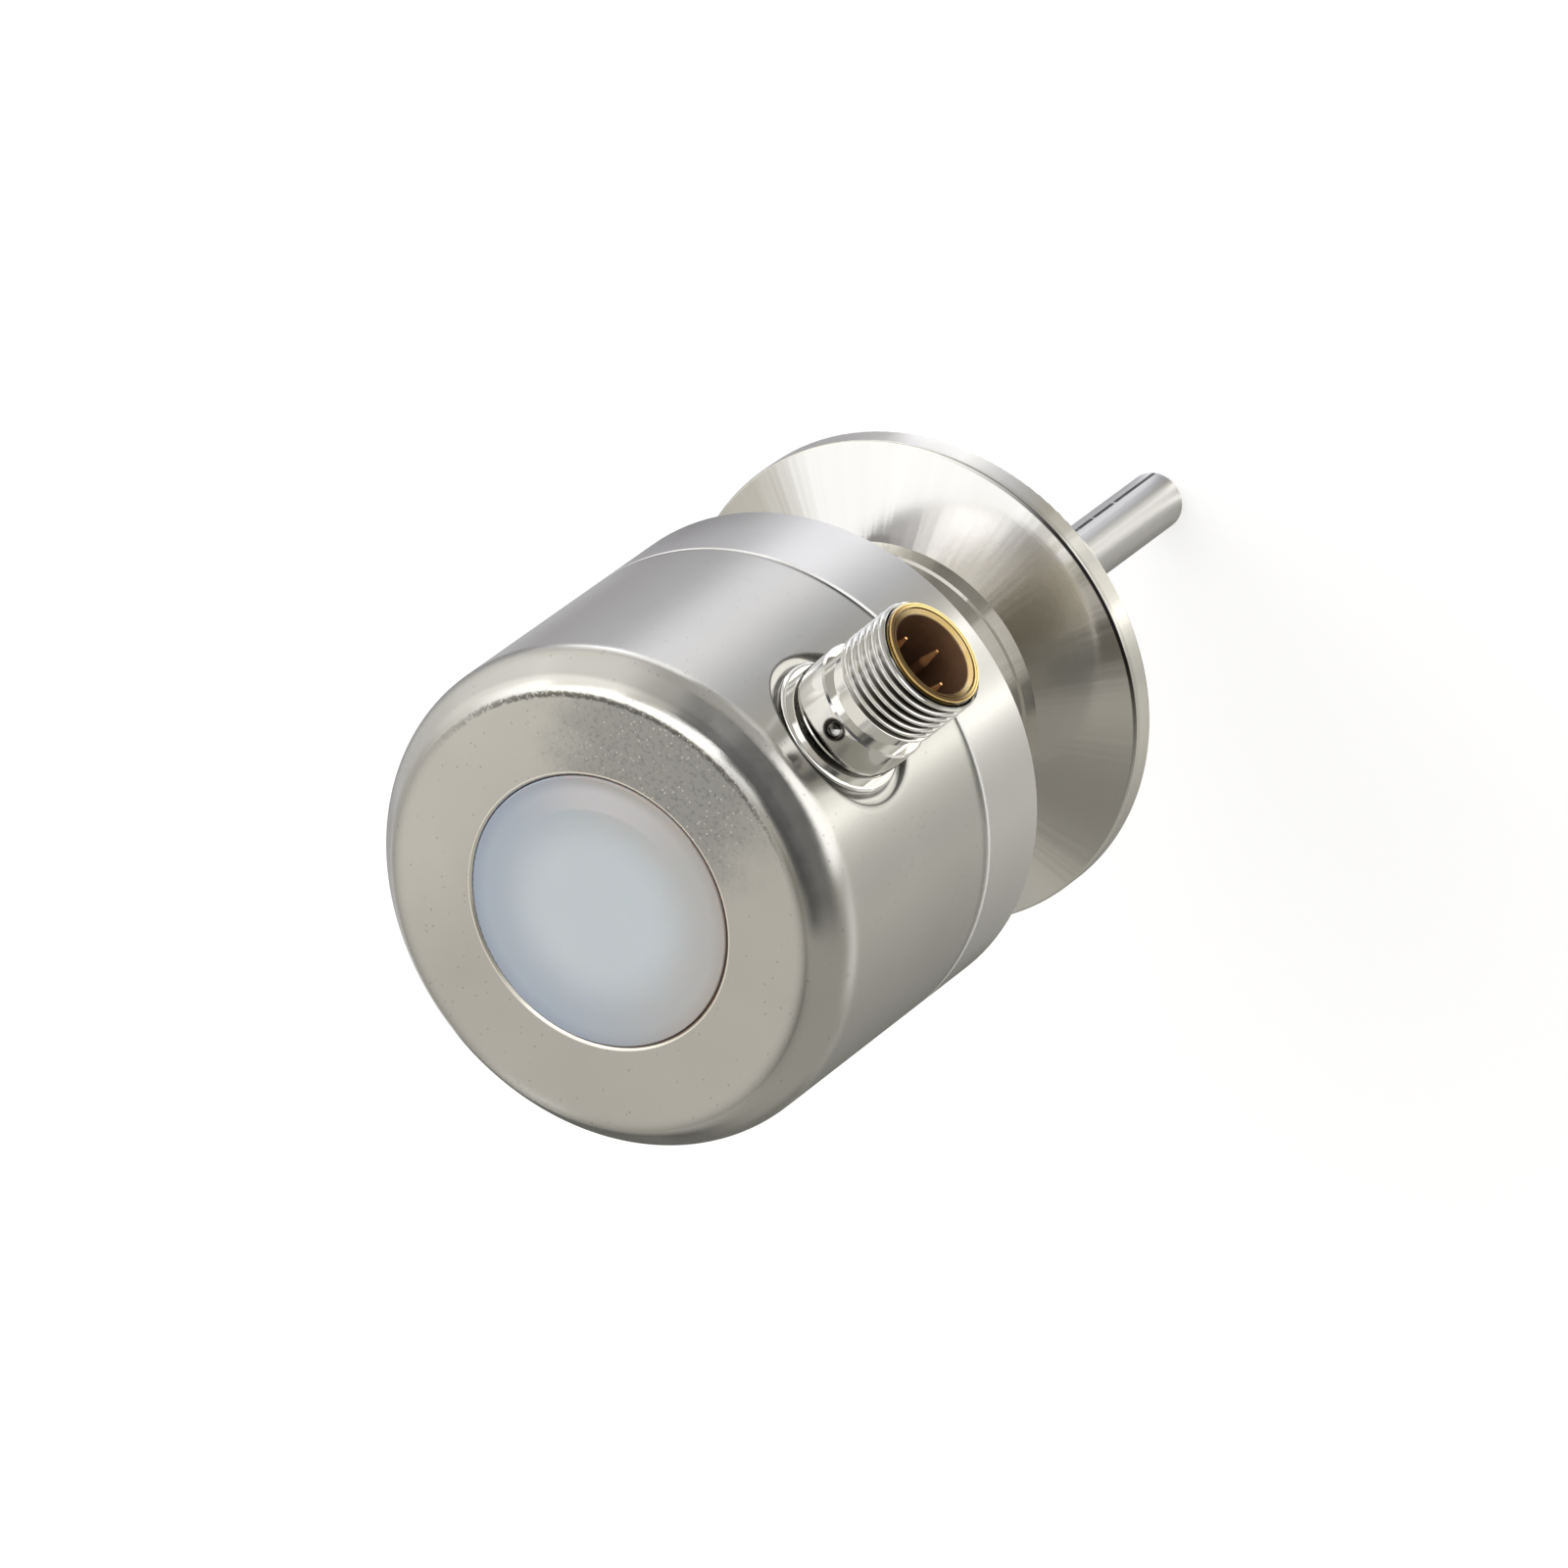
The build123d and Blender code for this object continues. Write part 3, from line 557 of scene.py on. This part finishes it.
def status_window():
    """Milky window: pale blue, darker towards its edge with painted shade, warm on one side and bluer on
    the other, with a painted lighter crescent on its lit side.
    """
    material, graph, shader = start_material(
        "window", Subsurface_Weight=0.35, Subsurface_Scale=2 * mm, IOR=1.49, Roughness=0.12
    )
    place = graph.millimetres()
    x, y, z = graph.split(place)
    radius = axis_radius(graph, x, y)
    side = graph.vector("DOT_PRODUCT", place, (0.45, 0.89, 0.0))
    tint = graph.mix(graph.fade(side, -9.0, 9.0), opaque(0.37, 0.33, 0.30), opaque(0.27, 0.32, 0.41))
    clouds = graph.noise(place, 0.12, 2.0)
    colour = graph.mix(clouds, opaque(0.51, 0.555, 0.595), opaque(0.54, 0.585, 0.62))
    # Painted shade: darker towards the edge, in the side tint.
    colour = graph.mix(graph.fade(radius, 5.5, 12.0, 0.0, 0.55), colour, tint)
    colour = graph.mix(graph.fade(radius, 12.0, 13.7, 0.0, 0.6), colour, tint)
    # Painted light: a lighter crescent on the lit side.
    lit_side = graph.near(turn_of(graph, x, y), 0.75, 0.95)
    outer_part = graph.fade(radius, 13.4, 12.2, 0.0, 0.75)
    painted_light_crescent = graph.times(lit_side, graph.fade(radius, 10.2, 10.6), outer_part)
    colour = graph.mix(painted_light_crescent, colour, opaque(0.56, 0.545, 0.565))
    graph.feed(shader.inputs["Base Color"], colour)
    graph.feed(shader.inputs["Normal"], graph.bump(graph.noise(place, 0.4), 0.01))
    return material


# Inside: board, fasteners, wires and plain moulded or fired pieces

def board():
    """Circuit board: green lacquer over copper tracks."""
    material, graph, shader = start_material("board")
    place = graph.millimetres()
    x, y, z = graph.split(place)
    along = graph.math("PINGPONG", graph.plus(x, graph.noise(place, 0.3)), 0.6)
    across = graph.math("PINGPONG", y, 1.9)
    copper = graph.times(graph.fade(along, 0.3, 0.36), graph.fade(across, 0.3, 0.4))
    colour = graph.mix(copper, opaque(0.015, 0.11, 0.05), opaque(0.03, 0.22, 0.10))
    graph.feed(shader.inputs["Base Color"], colour)
    graph.feed(shader.inputs["Roughness"], graph.spread(graph.noise(place, 2.0), 0.25, 0.4))
    graph.feed(shader.inputs["Normal"], graph.bump(copper, 0.02))
    return material


def bright_metal(name, dark, light, grain_size):
    """Plain bright metal with a fine mottled grain, for fasteners and bare wires."""
    material, graph, shader = start_material(name, Metallic=1.0)
    grain = graph.noise(graph.millimetres(), 1 / grain_size, 3.0)
    graph.feed(shader.inputs["Base Color"], graph.mix(grain, opaque(*dark), opaque(*light)))
    graph.feed(shader.inputs["Roughness"], graph.spread(grain, 0.2, 0.35))
    graph.feed(shader.inputs["Normal"], graph.bump(grain, 0.003))
    return material


def moulded(name, dark, light, grain_size, grain_depth, rough, **constants):
    """A moulded or fired surface: slow changes of tone and a fine grain."""
    material, graph, shader = start_material(name, **constants)
    place = graph.millimetres()
    tone = graph.noise(place, 0.25, 2.0)
    grain = graph.noise(place, 1 / grain_size, 3.0)
    graph.feed(shader.inputs["Base Color"], graph.mix(tone, opaque(*dark), opaque(*light)))
    graph.feed(shader.inputs["Roughness"], graph.spread(grain, rough - 0.06, rough + 0.06))
    graph.feed(shader.inputs["Normal"], graph.bump(grain, grain_depth))
    return material


def light_body():
    """Clear yellowish bodies of the status lights, which let some light in."""
    return moulded(
        "light", (0.8, 0.78, 0.66), (0.88, 0.87, 0.8), 0.3, 0.004, 0.15,
        Subsurface_Weight=0.4, Subsurface_Scale=0.5 * mm,
    )


# Each row: dark tone, light tone, size of the grain in mm
BRIGHT_METALS = {
    "fastener": ((0.55, 0.55, 0.56), (0.66, 0.66, 0.67), 0.4),
    "wire": ((0.7, 0.7, 0.71), (0.8, 0.8, 0.81), 0.3),
}

# Each row: dark tone, light tone, size and depth of the grain in mm, roughness
MOULDED = {
    "seal": ((0.05, 0.05, 0.052), (0.075, 0.075, 0.08), 0.1, 0.01, 0.6),
    "white_plastic": ((0.8, 0.8, 0.79), (0.87, 0.87, 0.86), 0.15, 0.01, 0.5),
    "black_plastic": ((0.03, 0.03, 0.034), (0.05, 0.05, 0.055), 0.12, 0.01, 0.45),
    "component_body": ((0.34, 0.27, 0.2), (0.46, 0.39, 0.32), 0.1, 0.01, 0.5),
    "lead_cover": ((0.5, 0.5, 0.5), (0.6, 0.6, 0.6), 0.2, 0.005, 0.4),
    "filler": ((0.7, 0.7, 0.68), (0.8, 0.8, 0.78), 0.3, 0.04, 0.6),
    "ceramic": ((0.84, 0.83, 0.79), (0.91, 0.9, 0.87), 0.15, 0.006, 0.35),
}


def make_materials():
    """One material for each slot of the record."""
    materials = {
        "blasted_steel": blasted_steel(),
        "turned_steel": turned_steel(),
        "polished_steel": polished_steel(),
        "nickel": nickel(),
        "contact": contact(),
        "amber_plastic": amber_plastic(),
        "window": status_window(),
        "board": board(),
        "light": light_body(),
    }
    for slot, row in BRIGHT_METALS.items():
        materials[slot] = bright_metal(slot, *row)
    for slot, row in MOULDED.items():
        materials[slot] = moulded(slot, *row)
    return materials


# Threaded shell of the plug connector

THREAD_PITCH = 1.0 * mm
THREAD_DEPTH = 0.6 * mm
THREAD_REACH = 7.0 * mm
CREST_SHARE = 0.16
ROOT_SHARE = 0.12
RUN_IN = 0.2 * mm
THREAD_LEAD = 0.3 * mm
STEPS_ROUND = 192
STEPS_ALONG = 220
TOLERANCE = 0.01 * mm
SLOPE_STEP = 0.01 * mm
SLOPE_TURN = 0.002


def thread_wave(turns):
    """Depth below the crest, 0 to 1: flat crest, sloped flanks, rounded root."""
    offset = abs((turns % 1.0) - 0.5) * 2
    flank = (offset - CREST_SHARE) / (1 - CREST_SHARE - ROOT_SHARE)
    flank = min(max(flank, 0.0), 1.0)
    return 0.5 * (flank + flank * flank * (3 - 2 * flank))


class ThreadZone:
    """The thread's stretch of the shell, on an axis parallel to Y."""

    def __init__(self, source):
        mount = mounts["plug_thread"]
        self.crest = mount["dims"]["r_mm"] * mm
        self.axis_height = mount["pos_m"][Z_AXIS]
        places = [vertex.co for vertex in source.vertices]
        self.mouth = min(place.y for place in places)
        on_crest = [place.y for place in places if abs(self.distance(place) - self.crest) < TOLERANCE]
        self.foot = max(y for y in on_crest if y < self.mouth + THREAD_REACH)
        at_foot = [place for place in places if abs(place.y - self.foot) < TOLERANCE]
        self.foot_radius = min(self.distance(place) for place in at_foot)
        self.length = self.foot - self.mouth

    def distance(self, point):
        return math.hypot(point.x, point.z - self.axis_height)

    def holds(self, point):
        inside = self.mouth - TOLERANCE < point.y < self.foot + TOLERANCE
        return inside and self.distance(point) > self.foot_radius - TOLERANCE

    def radius(self, angle, along):
        """Radius at an angle round the axis and a distance from the thread's foot."""
        left = self.length - along
        fade = min(along / RUN_IN, 1.0) * min(left / RUN_IN, 1.0)
        wave = thread_wave(along / THREAD_PITCH - angle / (2 * math.pi))
        chamfer = self.crest - max(THREAD_LEAD - left, 0.0)
        return min(self.crest - THREAD_DEPTH * wave * fade, chamfer)

    def point(self, angle, along, radius):
        x = radius * math.cos(angle)
        z = self.axis_height + radius * math.sin(angle)
        return Vector((x, self.foot - along, z))

    def normal(self, angle, along):
        """Normal of the threaded surface, from its slopes."""
        radius = self.radius(angle, along)
        before = max(along - SLOPE_STEP, 0.0)
        after = min(along + SLOPE_STEP, self.length)
        slope_along = (self.radius(angle, after) - self.radius(angle, before)) / (after - before)
        rise_round = self.radius(angle + SLOPE_TURN, along) - self.radius(angle - SLOPE_TURN, along)
        slope_round = rise_round / (2 * SLOPE_TURN * radius)
        outward = Vector((math.cos(angle), 0, math.sin(angle)))
        around = Vector((-math.sin(angle), 0, math.cos(angle)))
        return (outward - around * slope_round + Vector((0, slope_along, 0))).normalized()


class MeshParts:
    """Points, faces and the normal of each face corner, gathered into one mesh."""

    def __init__(self):
        self.points = []
        self.faces = []
        self.normals = []

    def face(self, corners, normals):
        self.faces.append(corners)
        self.normals.extend(normals)

    def make(self, name):
        mesh = bpy.data.meshes.new(name)
        mesh.from_pydata(self.points, [], self.faces)
        mesh.polygons.foreach_set("use_smooth", [True] * len(mesh.polygons))
        mesh.normals_split_custom_set(self.normals)
        piece = bpy.data.objects.new(name, mesh)
        bpy.context.scene.collection.objects.link(piece)
        return piece


def copy_outside(parts, source, zone):
    """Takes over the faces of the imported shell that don't lie in the thread's zone."""
    kept = {}
    for polygon in source.polygons:
        if all(zone.holds(source.vertices[i].co) for i in polygon.vertices):
            continue
        for i in polygon.vertices:
            if i not in kept:
                kept[i] = len(parts.points)
                parts.points.append(source.vertices[i].co.copy())
        corners = [kept[i] for i in polygon.vertices]
        parts.face(corners, [source.corner_normals[i].vector.copy() for i in polygon.loop_indices])


def thread_points(parts, zone):
    """A ring at the undercut, then the rings of the thread. Returns the normals of the thread's rings."""
    angles = [2 * math.pi * i / STEPS_ROUND for i in range(STEPS_ROUND)]
    for angle in angles:
        parts.points.append(zone.point(angle, 0.0, zone.foot_radius))
    slopes = []
    for j in range(STEPS_ALONG + 1):
        along = zone.length * j / STEPS_ALONG
        for angle in angles:
            parts.points.append(zone.point(angle, along, zone.radius(angle, along)))
            slopes.append(zone.normal(angle, along))
    return slopes


def add_thread(parts, zone):
    """Step up from the undercut, then the helical surface to the mouth."""
    start = len(parts.points)
    slopes = thread_points(parts, zone)
    first_ring = start + STEPS_ROUND
    back = Vector((0, 1, 0))
    for i in range(STEPS_ROUND):
        after = (i + 1) % STEPS_ROUND
        parts.face([start + i, start + after, first_ring + after, first_ring + i], [back] * 4)
        for j in range(STEPS_ALONG):
            row = j * STEPS_ROUND
            next_row = row + STEPS_ROUND
            corners = [row + i, row + after, next_row + after, next_row + i]
            parts.face([first_ring + c for c in corners], [slopes[c] for c in corners])


def threaded_shell():
    source = nodes["connector_shell"].data
    zone = ThreadZone(source)
    parts = MeshParts()
    copy_outside(parts, source, zone)
    add_thread(parts, zone)
    piece = parts.make("connector_shell_threaded")
    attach(piece, "root")
    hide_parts("connector_shell")
    return piece


# Studio: what metal sees round the object. Its tones follow reflections measured in the photograph.

# Each panel: azimuth, elevation, half width, half height and soft edge in degrees, then its tone
STUDIO_PANELS = (
    (-90, 10, 60, 60, 18, (0.44, 0.43, 0.385)),
    (-66, -26, 20, 18, 9, (0.85, 0.84, 0.80)),
    (110, -24, 40, 14, 8, (0.74, 0.73, 0.70)),
    (98, 4, 38, 18, 8, (1.00, 0.985, 0.94)),
    (70, -34, 22, 11, 4, (1.45, 1.44, 1.42)),
    (132, -44, 26, 9, 5, (0.30, 0.30, 0.30)),
    (-8, 27, 52, 11, 5, (0.10, 0.10, 0.103)),
    (-17, -13, 22, 26, 5, (1.75, 1.74, 1.70)),
    (180, 55, 45, 20, 12, (0.85, 0.825, 0.755)),
    (-151, -35, 31, 18, 5, (0.10, 0.10, 0.09)),
    (-122, 50, 16, 14, 8, (0.27, 0.26, 0.235)),
    (-147, 32, 5, 22, 3, (0.52, 0.51, 0.48)),
    (-170, 15, 4, 10, 2, (1.70, 1.68, 1.62)),
    (-95, 76, 30, 5, 4, (0.15, 0.14, 0.12)),
    (0, 88, 180, 3, 1, (0.36, 0.32, 0.23)),
    (-53, 36, 8, 7, 4, (0.26, 0.255, 0.24)),
    (8, 43, 11, 9, 5, (0.90, 0.90, 0.88)),
    (14, -32, 16, 8, 5, (0.90, 0.89, 0.86)),
    (106, 13, 13, 6, 3, (1.50, 1.49, 1.45)),
    (90, 27, 24, 6, 3, (1.62, 1.61, 1.58)),
    (76, 55, 56, 27, 3, (1.40, 1.41, 1.45)),
    (57, 39, 33, 9, 3, (1.62, 1.61, 1.58)),
)
STUDIO_BOTTOM = (0.50, 0.50, 0.48)
STUDIO_TOP = (0.56, 0.54, 0.50)

# Each band of the floor: azimuth in degrees from -Y towards +X, then the tone that metal sees there
FLOOR_BANDS = (
    (-180, (0.13, 0.13, 0.12)),
    (-160, (0.14, 0.14, 0.13)),
    (-69, (0.58, 0.57, 0.54)),
    (-52, (0.55, 0.55, 0.52)),
    (-39, (0.68, 0.675, 0.64)),
    (-32, (1.00, 0.99, 0.95)),
    (-26, (1.65, 1.64, 1.58)),
    (-20, (1.02, 1.01, 0.96)),
    (-12, (0.90, 0.89, 0.84)),
    (-4, (1.15, 1.14, 1.10)),
    (5, (1.55, 1.54, 1.50)),
    (9, (0.75, 0.74, 0.69)),
    (19, (0.45, 0.435, 0.40)),
    (34, (0.49, 0.50, 0.53)),
    (45, (0.70, 0.71, 0.75)),
    (56, (0.95, 0.96, 1.01)),
    (70, (0.96, 0.97, 1.04)),
    (88, (0.56, 0.565, 0.60)),
    (124, (0.41, 0.405, 0.43)),
    (142, (0.52, 0.52, 0.55)),
    (158, (0.47, 0.47, 0.49)),
    (180, (0.78, 0.78, 0.78)),
)

# Each card: azimuth, distance from the axis in mm, half width in degrees, half depth in mm, then its factor
FLOOR_CARDS = (
    (-60, 40, 16, 11, 0.20),
    (62, 42, 22, 12, 2.5),
    (-95, 64, 42, 8, 1.2),
    (45, 64, 15, 8, 1.2),
    (122, 64, 25, 8, 0.55),
    (-143, 64, 12, 8, 0.80),
    (1, 64, 9, 8, 0.66),
    (84, 168, 12, 24, 2.1),
    (130, 155, 22, 30, 0.42),
    (163, 160, 11, 30, 0.72),
)
CARD_EDGE = 5
CARD_SOFT_SHARE = 0.3


def direction(azimuth, elevation):
    """Unit vector: azimuth in degrees from -Y towards +X, elevation in degrees."""
    turn = math.radians(azimuth)
    rise = math.radians(elevation)
    return Vector((math.sin(turn) * math.cos(rise), -math.cos(turn) * math.cos(rise), math.sin(rise)))


def shown_rays(graph, *kinds):
    """1 for rays of these kinds."""
    path = graph.add("ShaderNodeLightPath")
    return graph.largest(*[path.outputs[kind] for kind in kinds])


class Studio:
    """Tone of the studio seen in each direction, painted patch by patch."""

    def __init__(self, graph):
        self.graph = graph
        coordinates = graph.add("ShaderNodeTexCoord")
        x, y, z = graph.split(coordinates.outputs["Generated"])
        self.azimuth = turn_of(graph, x, y)
        self.elevation = graph.math("ARCSINE", z)
        share = graph.fade(self.elevation, -math.pi / 2, math.pi / 2)
        self.tone = graph.mix(share, opaque(*STUDIO_BOTTOM), opaque(*STUDIO_TOP))

    def patch(self, azimuth, elevation, half_width, half_height, soft, colour):
        """A soft-edged panel, all angles in degrees."""
        graph = self.graph
        turn = graph.minus(self.azimuth, math.radians(azimuth))
        turn = graph.math("WRAP", turn, math.pi, -math.pi)
        edge = math.radians(soft)
        across = graph.band(turn, 0.0, math.radians(half_width), edge)
        upright = graph.band(self.elevation, math.radians(elevation), math.radians(half_height), edge)
        self.tone = graph.mix(graph.times(across, upright), self.tone, opaque(*colour))


def make_world():
    """White for cameras and glass, the studio's panels for light and metal."""
    world = bpy.data.worlds.new("studio")
    bpy.context.scene.world = world
    world.use_nodes = True
    graph = Graph(world.node_tree)
    studio = Studio(graph)
    for panel in STUDIO_PANELS:
        studio.patch(*panel)
    panels = graph.add("ShaderNodeBackground")
    graph.feed(panels.inputs["Color"], studio.tone)
    white = graph.add("ShaderNodeBackground")
    graph.feed(white.inputs["Color"], opaque(1, 1, 1))
    shown = graph.add("ShaderNodeMixShader")
    graph.feed(shown.inputs[0], shown_rays(graph, "Is Camera Ray", "Is Transmission Ray"))
    graph.feed(shown.inputs[1], panels.outputs[0])
    graph.feed(shown.inputs[2], white.outputs[0])
    output = graph.add("ShaderNodeOutputWorld")
    graph.feed(output.inputs["Surface"], shown.outputs[0])


# Floor

FLOOR_MIDDLE = Vector((0.0, 0.05, cad_box[0][Z_AXIS]))
FLOOR_RADIUS = 0.2
FLOOR_SIDES = 96
FLOOR_FADE_START = 0.8
FLOOR_FADE_END = 0.97
PAPER_GLOW = 0.35
SEEN_PAPER = 0.45
SEEN_GLOW = 0.73


def floor_bands(graph, turn):
    """Tone of the floor round the axis, from one band's azimuth to the next."""
    node = graph.add("ShaderNodeValToRGB")
    graph.feed(node.inputs[0], graph.math("MULTIPLY_ADD", turn, 0.5 / math.pi, 0.5))
    ramp = node.color_ramp
    ramp.interpolation = "LINEAR"
    while len(ramp.elements) < len(FLOOR_BANDS):
        ramp.elements.new(0.5)
    for element, (azimuth, tone) in zip(ramp.elements, FLOOR_BANDS):
        element.position = azimuth / 360 + 0.5
        element.color = opaque(*tone)
    return node.outputs[0]


def floor_tone(graph, place):
    """The paper as metal sees it: bands of tone round the axis, with lighter and darker cards on them."""
    x, y, z = graph.split(place)
    turn = turn_of(graph, x, y)
    radius = axis_radius(graph, x, y)
    tone = floor_bands(graph, turn)
    for azimuth, distance, half_width, half_depth, factor in FLOOR_CARDS:
        across = graph.band(turn, math.radians(azimuth), math.radians(half_width), math.radians(CARD_EDGE))
        deep = graph.band(radius, distance, half_depth, CARD_SOFT_SHARE * half_depth)
        tone = graph.scale(tone, graph.spread(graph.times(across, deep), 1.0, factor))
    return tone


def paper_material():
    """Pale paper that keeps a soft shadow, and fades to plain white at the disc's edge."""
    material = bpy.data.materials.new("floor_paper")
    material.use_nodes = True
    graph = Graph(material.node_tree)
    place = graph.millimetres()
    seen = shown_rays(graph, "Is Camera Ray", "Is Transmission Ray")
    glowing = shown_rays(graph, "Is Camera Ray", "Is Glossy Ray", "Is Transmission Ray")
    bands = graph.mix(shown_rays(graph, "Is Glossy Ray"), opaque(1, 1, 1), floor_tone(graph, place))

    paper = graph.add("ShaderNodeBsdfDiffuse")
    tint = graph.mix(graph.noise(place, 0.05), opaque(0.80, 0.80, 0.80), opaque(0.83, 0.83, 0.83))
    tint = graph.scale(tint, graph.spread(seen, 1.0, SEEN_PAPER))
    graph.feed(paper.inputs["Color"], graph.vector("MULTIPLY", tint, bands))

    glow = graph.add("ShaderNodeEmission")
    distance = graph.vector("DISTANCE", place, tuple(FLOOR_MIDDLE / mm))
    fade_start = FLOOR_FADE_START * FLOOR_RADIUS / mm
    fade_end = FLOOR_FADE_END * FLOOR_RADIUS / mm
    level = graph.fade(distance, fade_start, fade_end, graph.spread(seen, PAPER_GLOW, SEEN_GLOW), 1.0)
    graph.feed(glow.inputs["Color"], bands)
    graph.feed(glow.inputs["Strength"], graph.times(glowing, level))

    both = graph.add("ShaderNodeAddShader")
    graph.feed(both.inputs[0], paper.outputs[0])
    graph.feed(both.inputs[1], glow.outputs[0])
    output = graph.add("ShaderNodeOutputMaterial")
    graph.feed(output.inputs["Surface"], both.outputs[0])
    return material


def make_floor():
    """A pale disc under the probe's tip."""
    ring = [2 * math.pi * i / FLOOR_SIDES for i in range(FLOOR_SIDES)]
    points = [FLOOR_MIDDLE + FLOOR_RADIUS * Vector((math.cos(a), math.sin(a), 0)) for a in ring]
    mesh = bpy.data.meshes.new("floor")
    mesh.from_pydata(points, [], [list(range(FLOOR_SIDES))])
    mesh.materials.append(paper_material())
    floor = bpy.data.objects.new("floor", mesh)
    bpy.context.scene.collection.objects.link(floor)


# Lamp and camera

LAMP_AIM = Vector((0.0, 0.0, 0.03))
LAMP_AZIMUTH = 80
LAMP_ELEVATION = 50
LAMP_DISTANCE = 0.55
LAMP_WIDTH = 0.48
LAMP_HEIGHT = 0.42
LAMP_RADIANCE = 1.62
LAMP_COLOUR = (1.0, 0.995, 0.98)
CAMERA_PLACE = Vector((-18.54, -853.00, 1163.28)) * mm
CAMERA_RIGHT = Vector((-0.60770, -0.63010, -0.48340))
CAMERA_UP = Vector((0.79406, -0.49173, -0.35731))
CAMERA_BACK = Vector((-0.01256, -0.60099, 0.79916))
LENS = 337.5
SENSOR_WIDTH = 36.0
VIEW_END = 20.0


def make_lamp():
    """A soft rectangular lamp that faces the object. Metal shows the studio's panels in its place."""
    light = bpy.data.lights.new("key_bank", "AREA")
    light.shape = "RECTANGLE"
    light.size = LAMP_WIDTH
    light.size_y = LAMP_HEIGHT
    light.energy = LAMP_RADIANCE * math.pi * LAMP_WIDTH * LAMP_HEIGHT
    light.color = LAMP_COLOUR
    lamp = bpy.data.objects.new("key_bank", light)
    bpy.context.scene.collection.objects.link(lamp)
    towards = direction(LAMP_AZIMUTH, LAMP_ELEVATION)
    lamp.location = LAMP_AIM + LAMP_DISTANCE * towards
    lamp.rotation_euler = towards.to_track_quat("Z", "Y").to_euler()
    lamp.visible_camera = False
    lamp.visible_glossy = False


def make_camera():
    """The photograph's view, fitted to the edges of the object's rings."""
    camera_data = bpy.data.cameras.new("camera")
    camera_data.lens = LENS
    camera_data.sensor_width = SENSOR_WIDTH
    camera_data.clip_end = VIEW_END
    camera = bpy.data.objects.new("camera", camera_data)
    bpy.context.scene.collection.objects.link(camera)
    turn = Matrix((CAMERA_RIGHT, CAMERA_UP, CAMERA_BACK)).transposed()
    camera.matrix_world = Matrix.Translation(CAMERA_PLACE) @ turn.to_4x4()
    bpy.context.scene.camera = camera


# The whole scene

def dress(piece, material):
    """Gives every slot of a mesh this material."""
    if not piece.data.materials:
        piece.data.materials.append(material)
    for slot in piece.material_slots:
        slot.material = material


def main():
    bpy.context.scene.view_settings.view_transform = "Standard"
    make_camera()
    make_world()
    make_lamp()
    make_floor()
    materials = make_materials()
    slots = {part["node"]: part["material_slot"] for part in frame["record"]["subparts"]}
    for name, piece in nodes.items():
        dress(piece, materials[slots[name]])
    dress(threaded_shell(), materials["nickel"])


main()
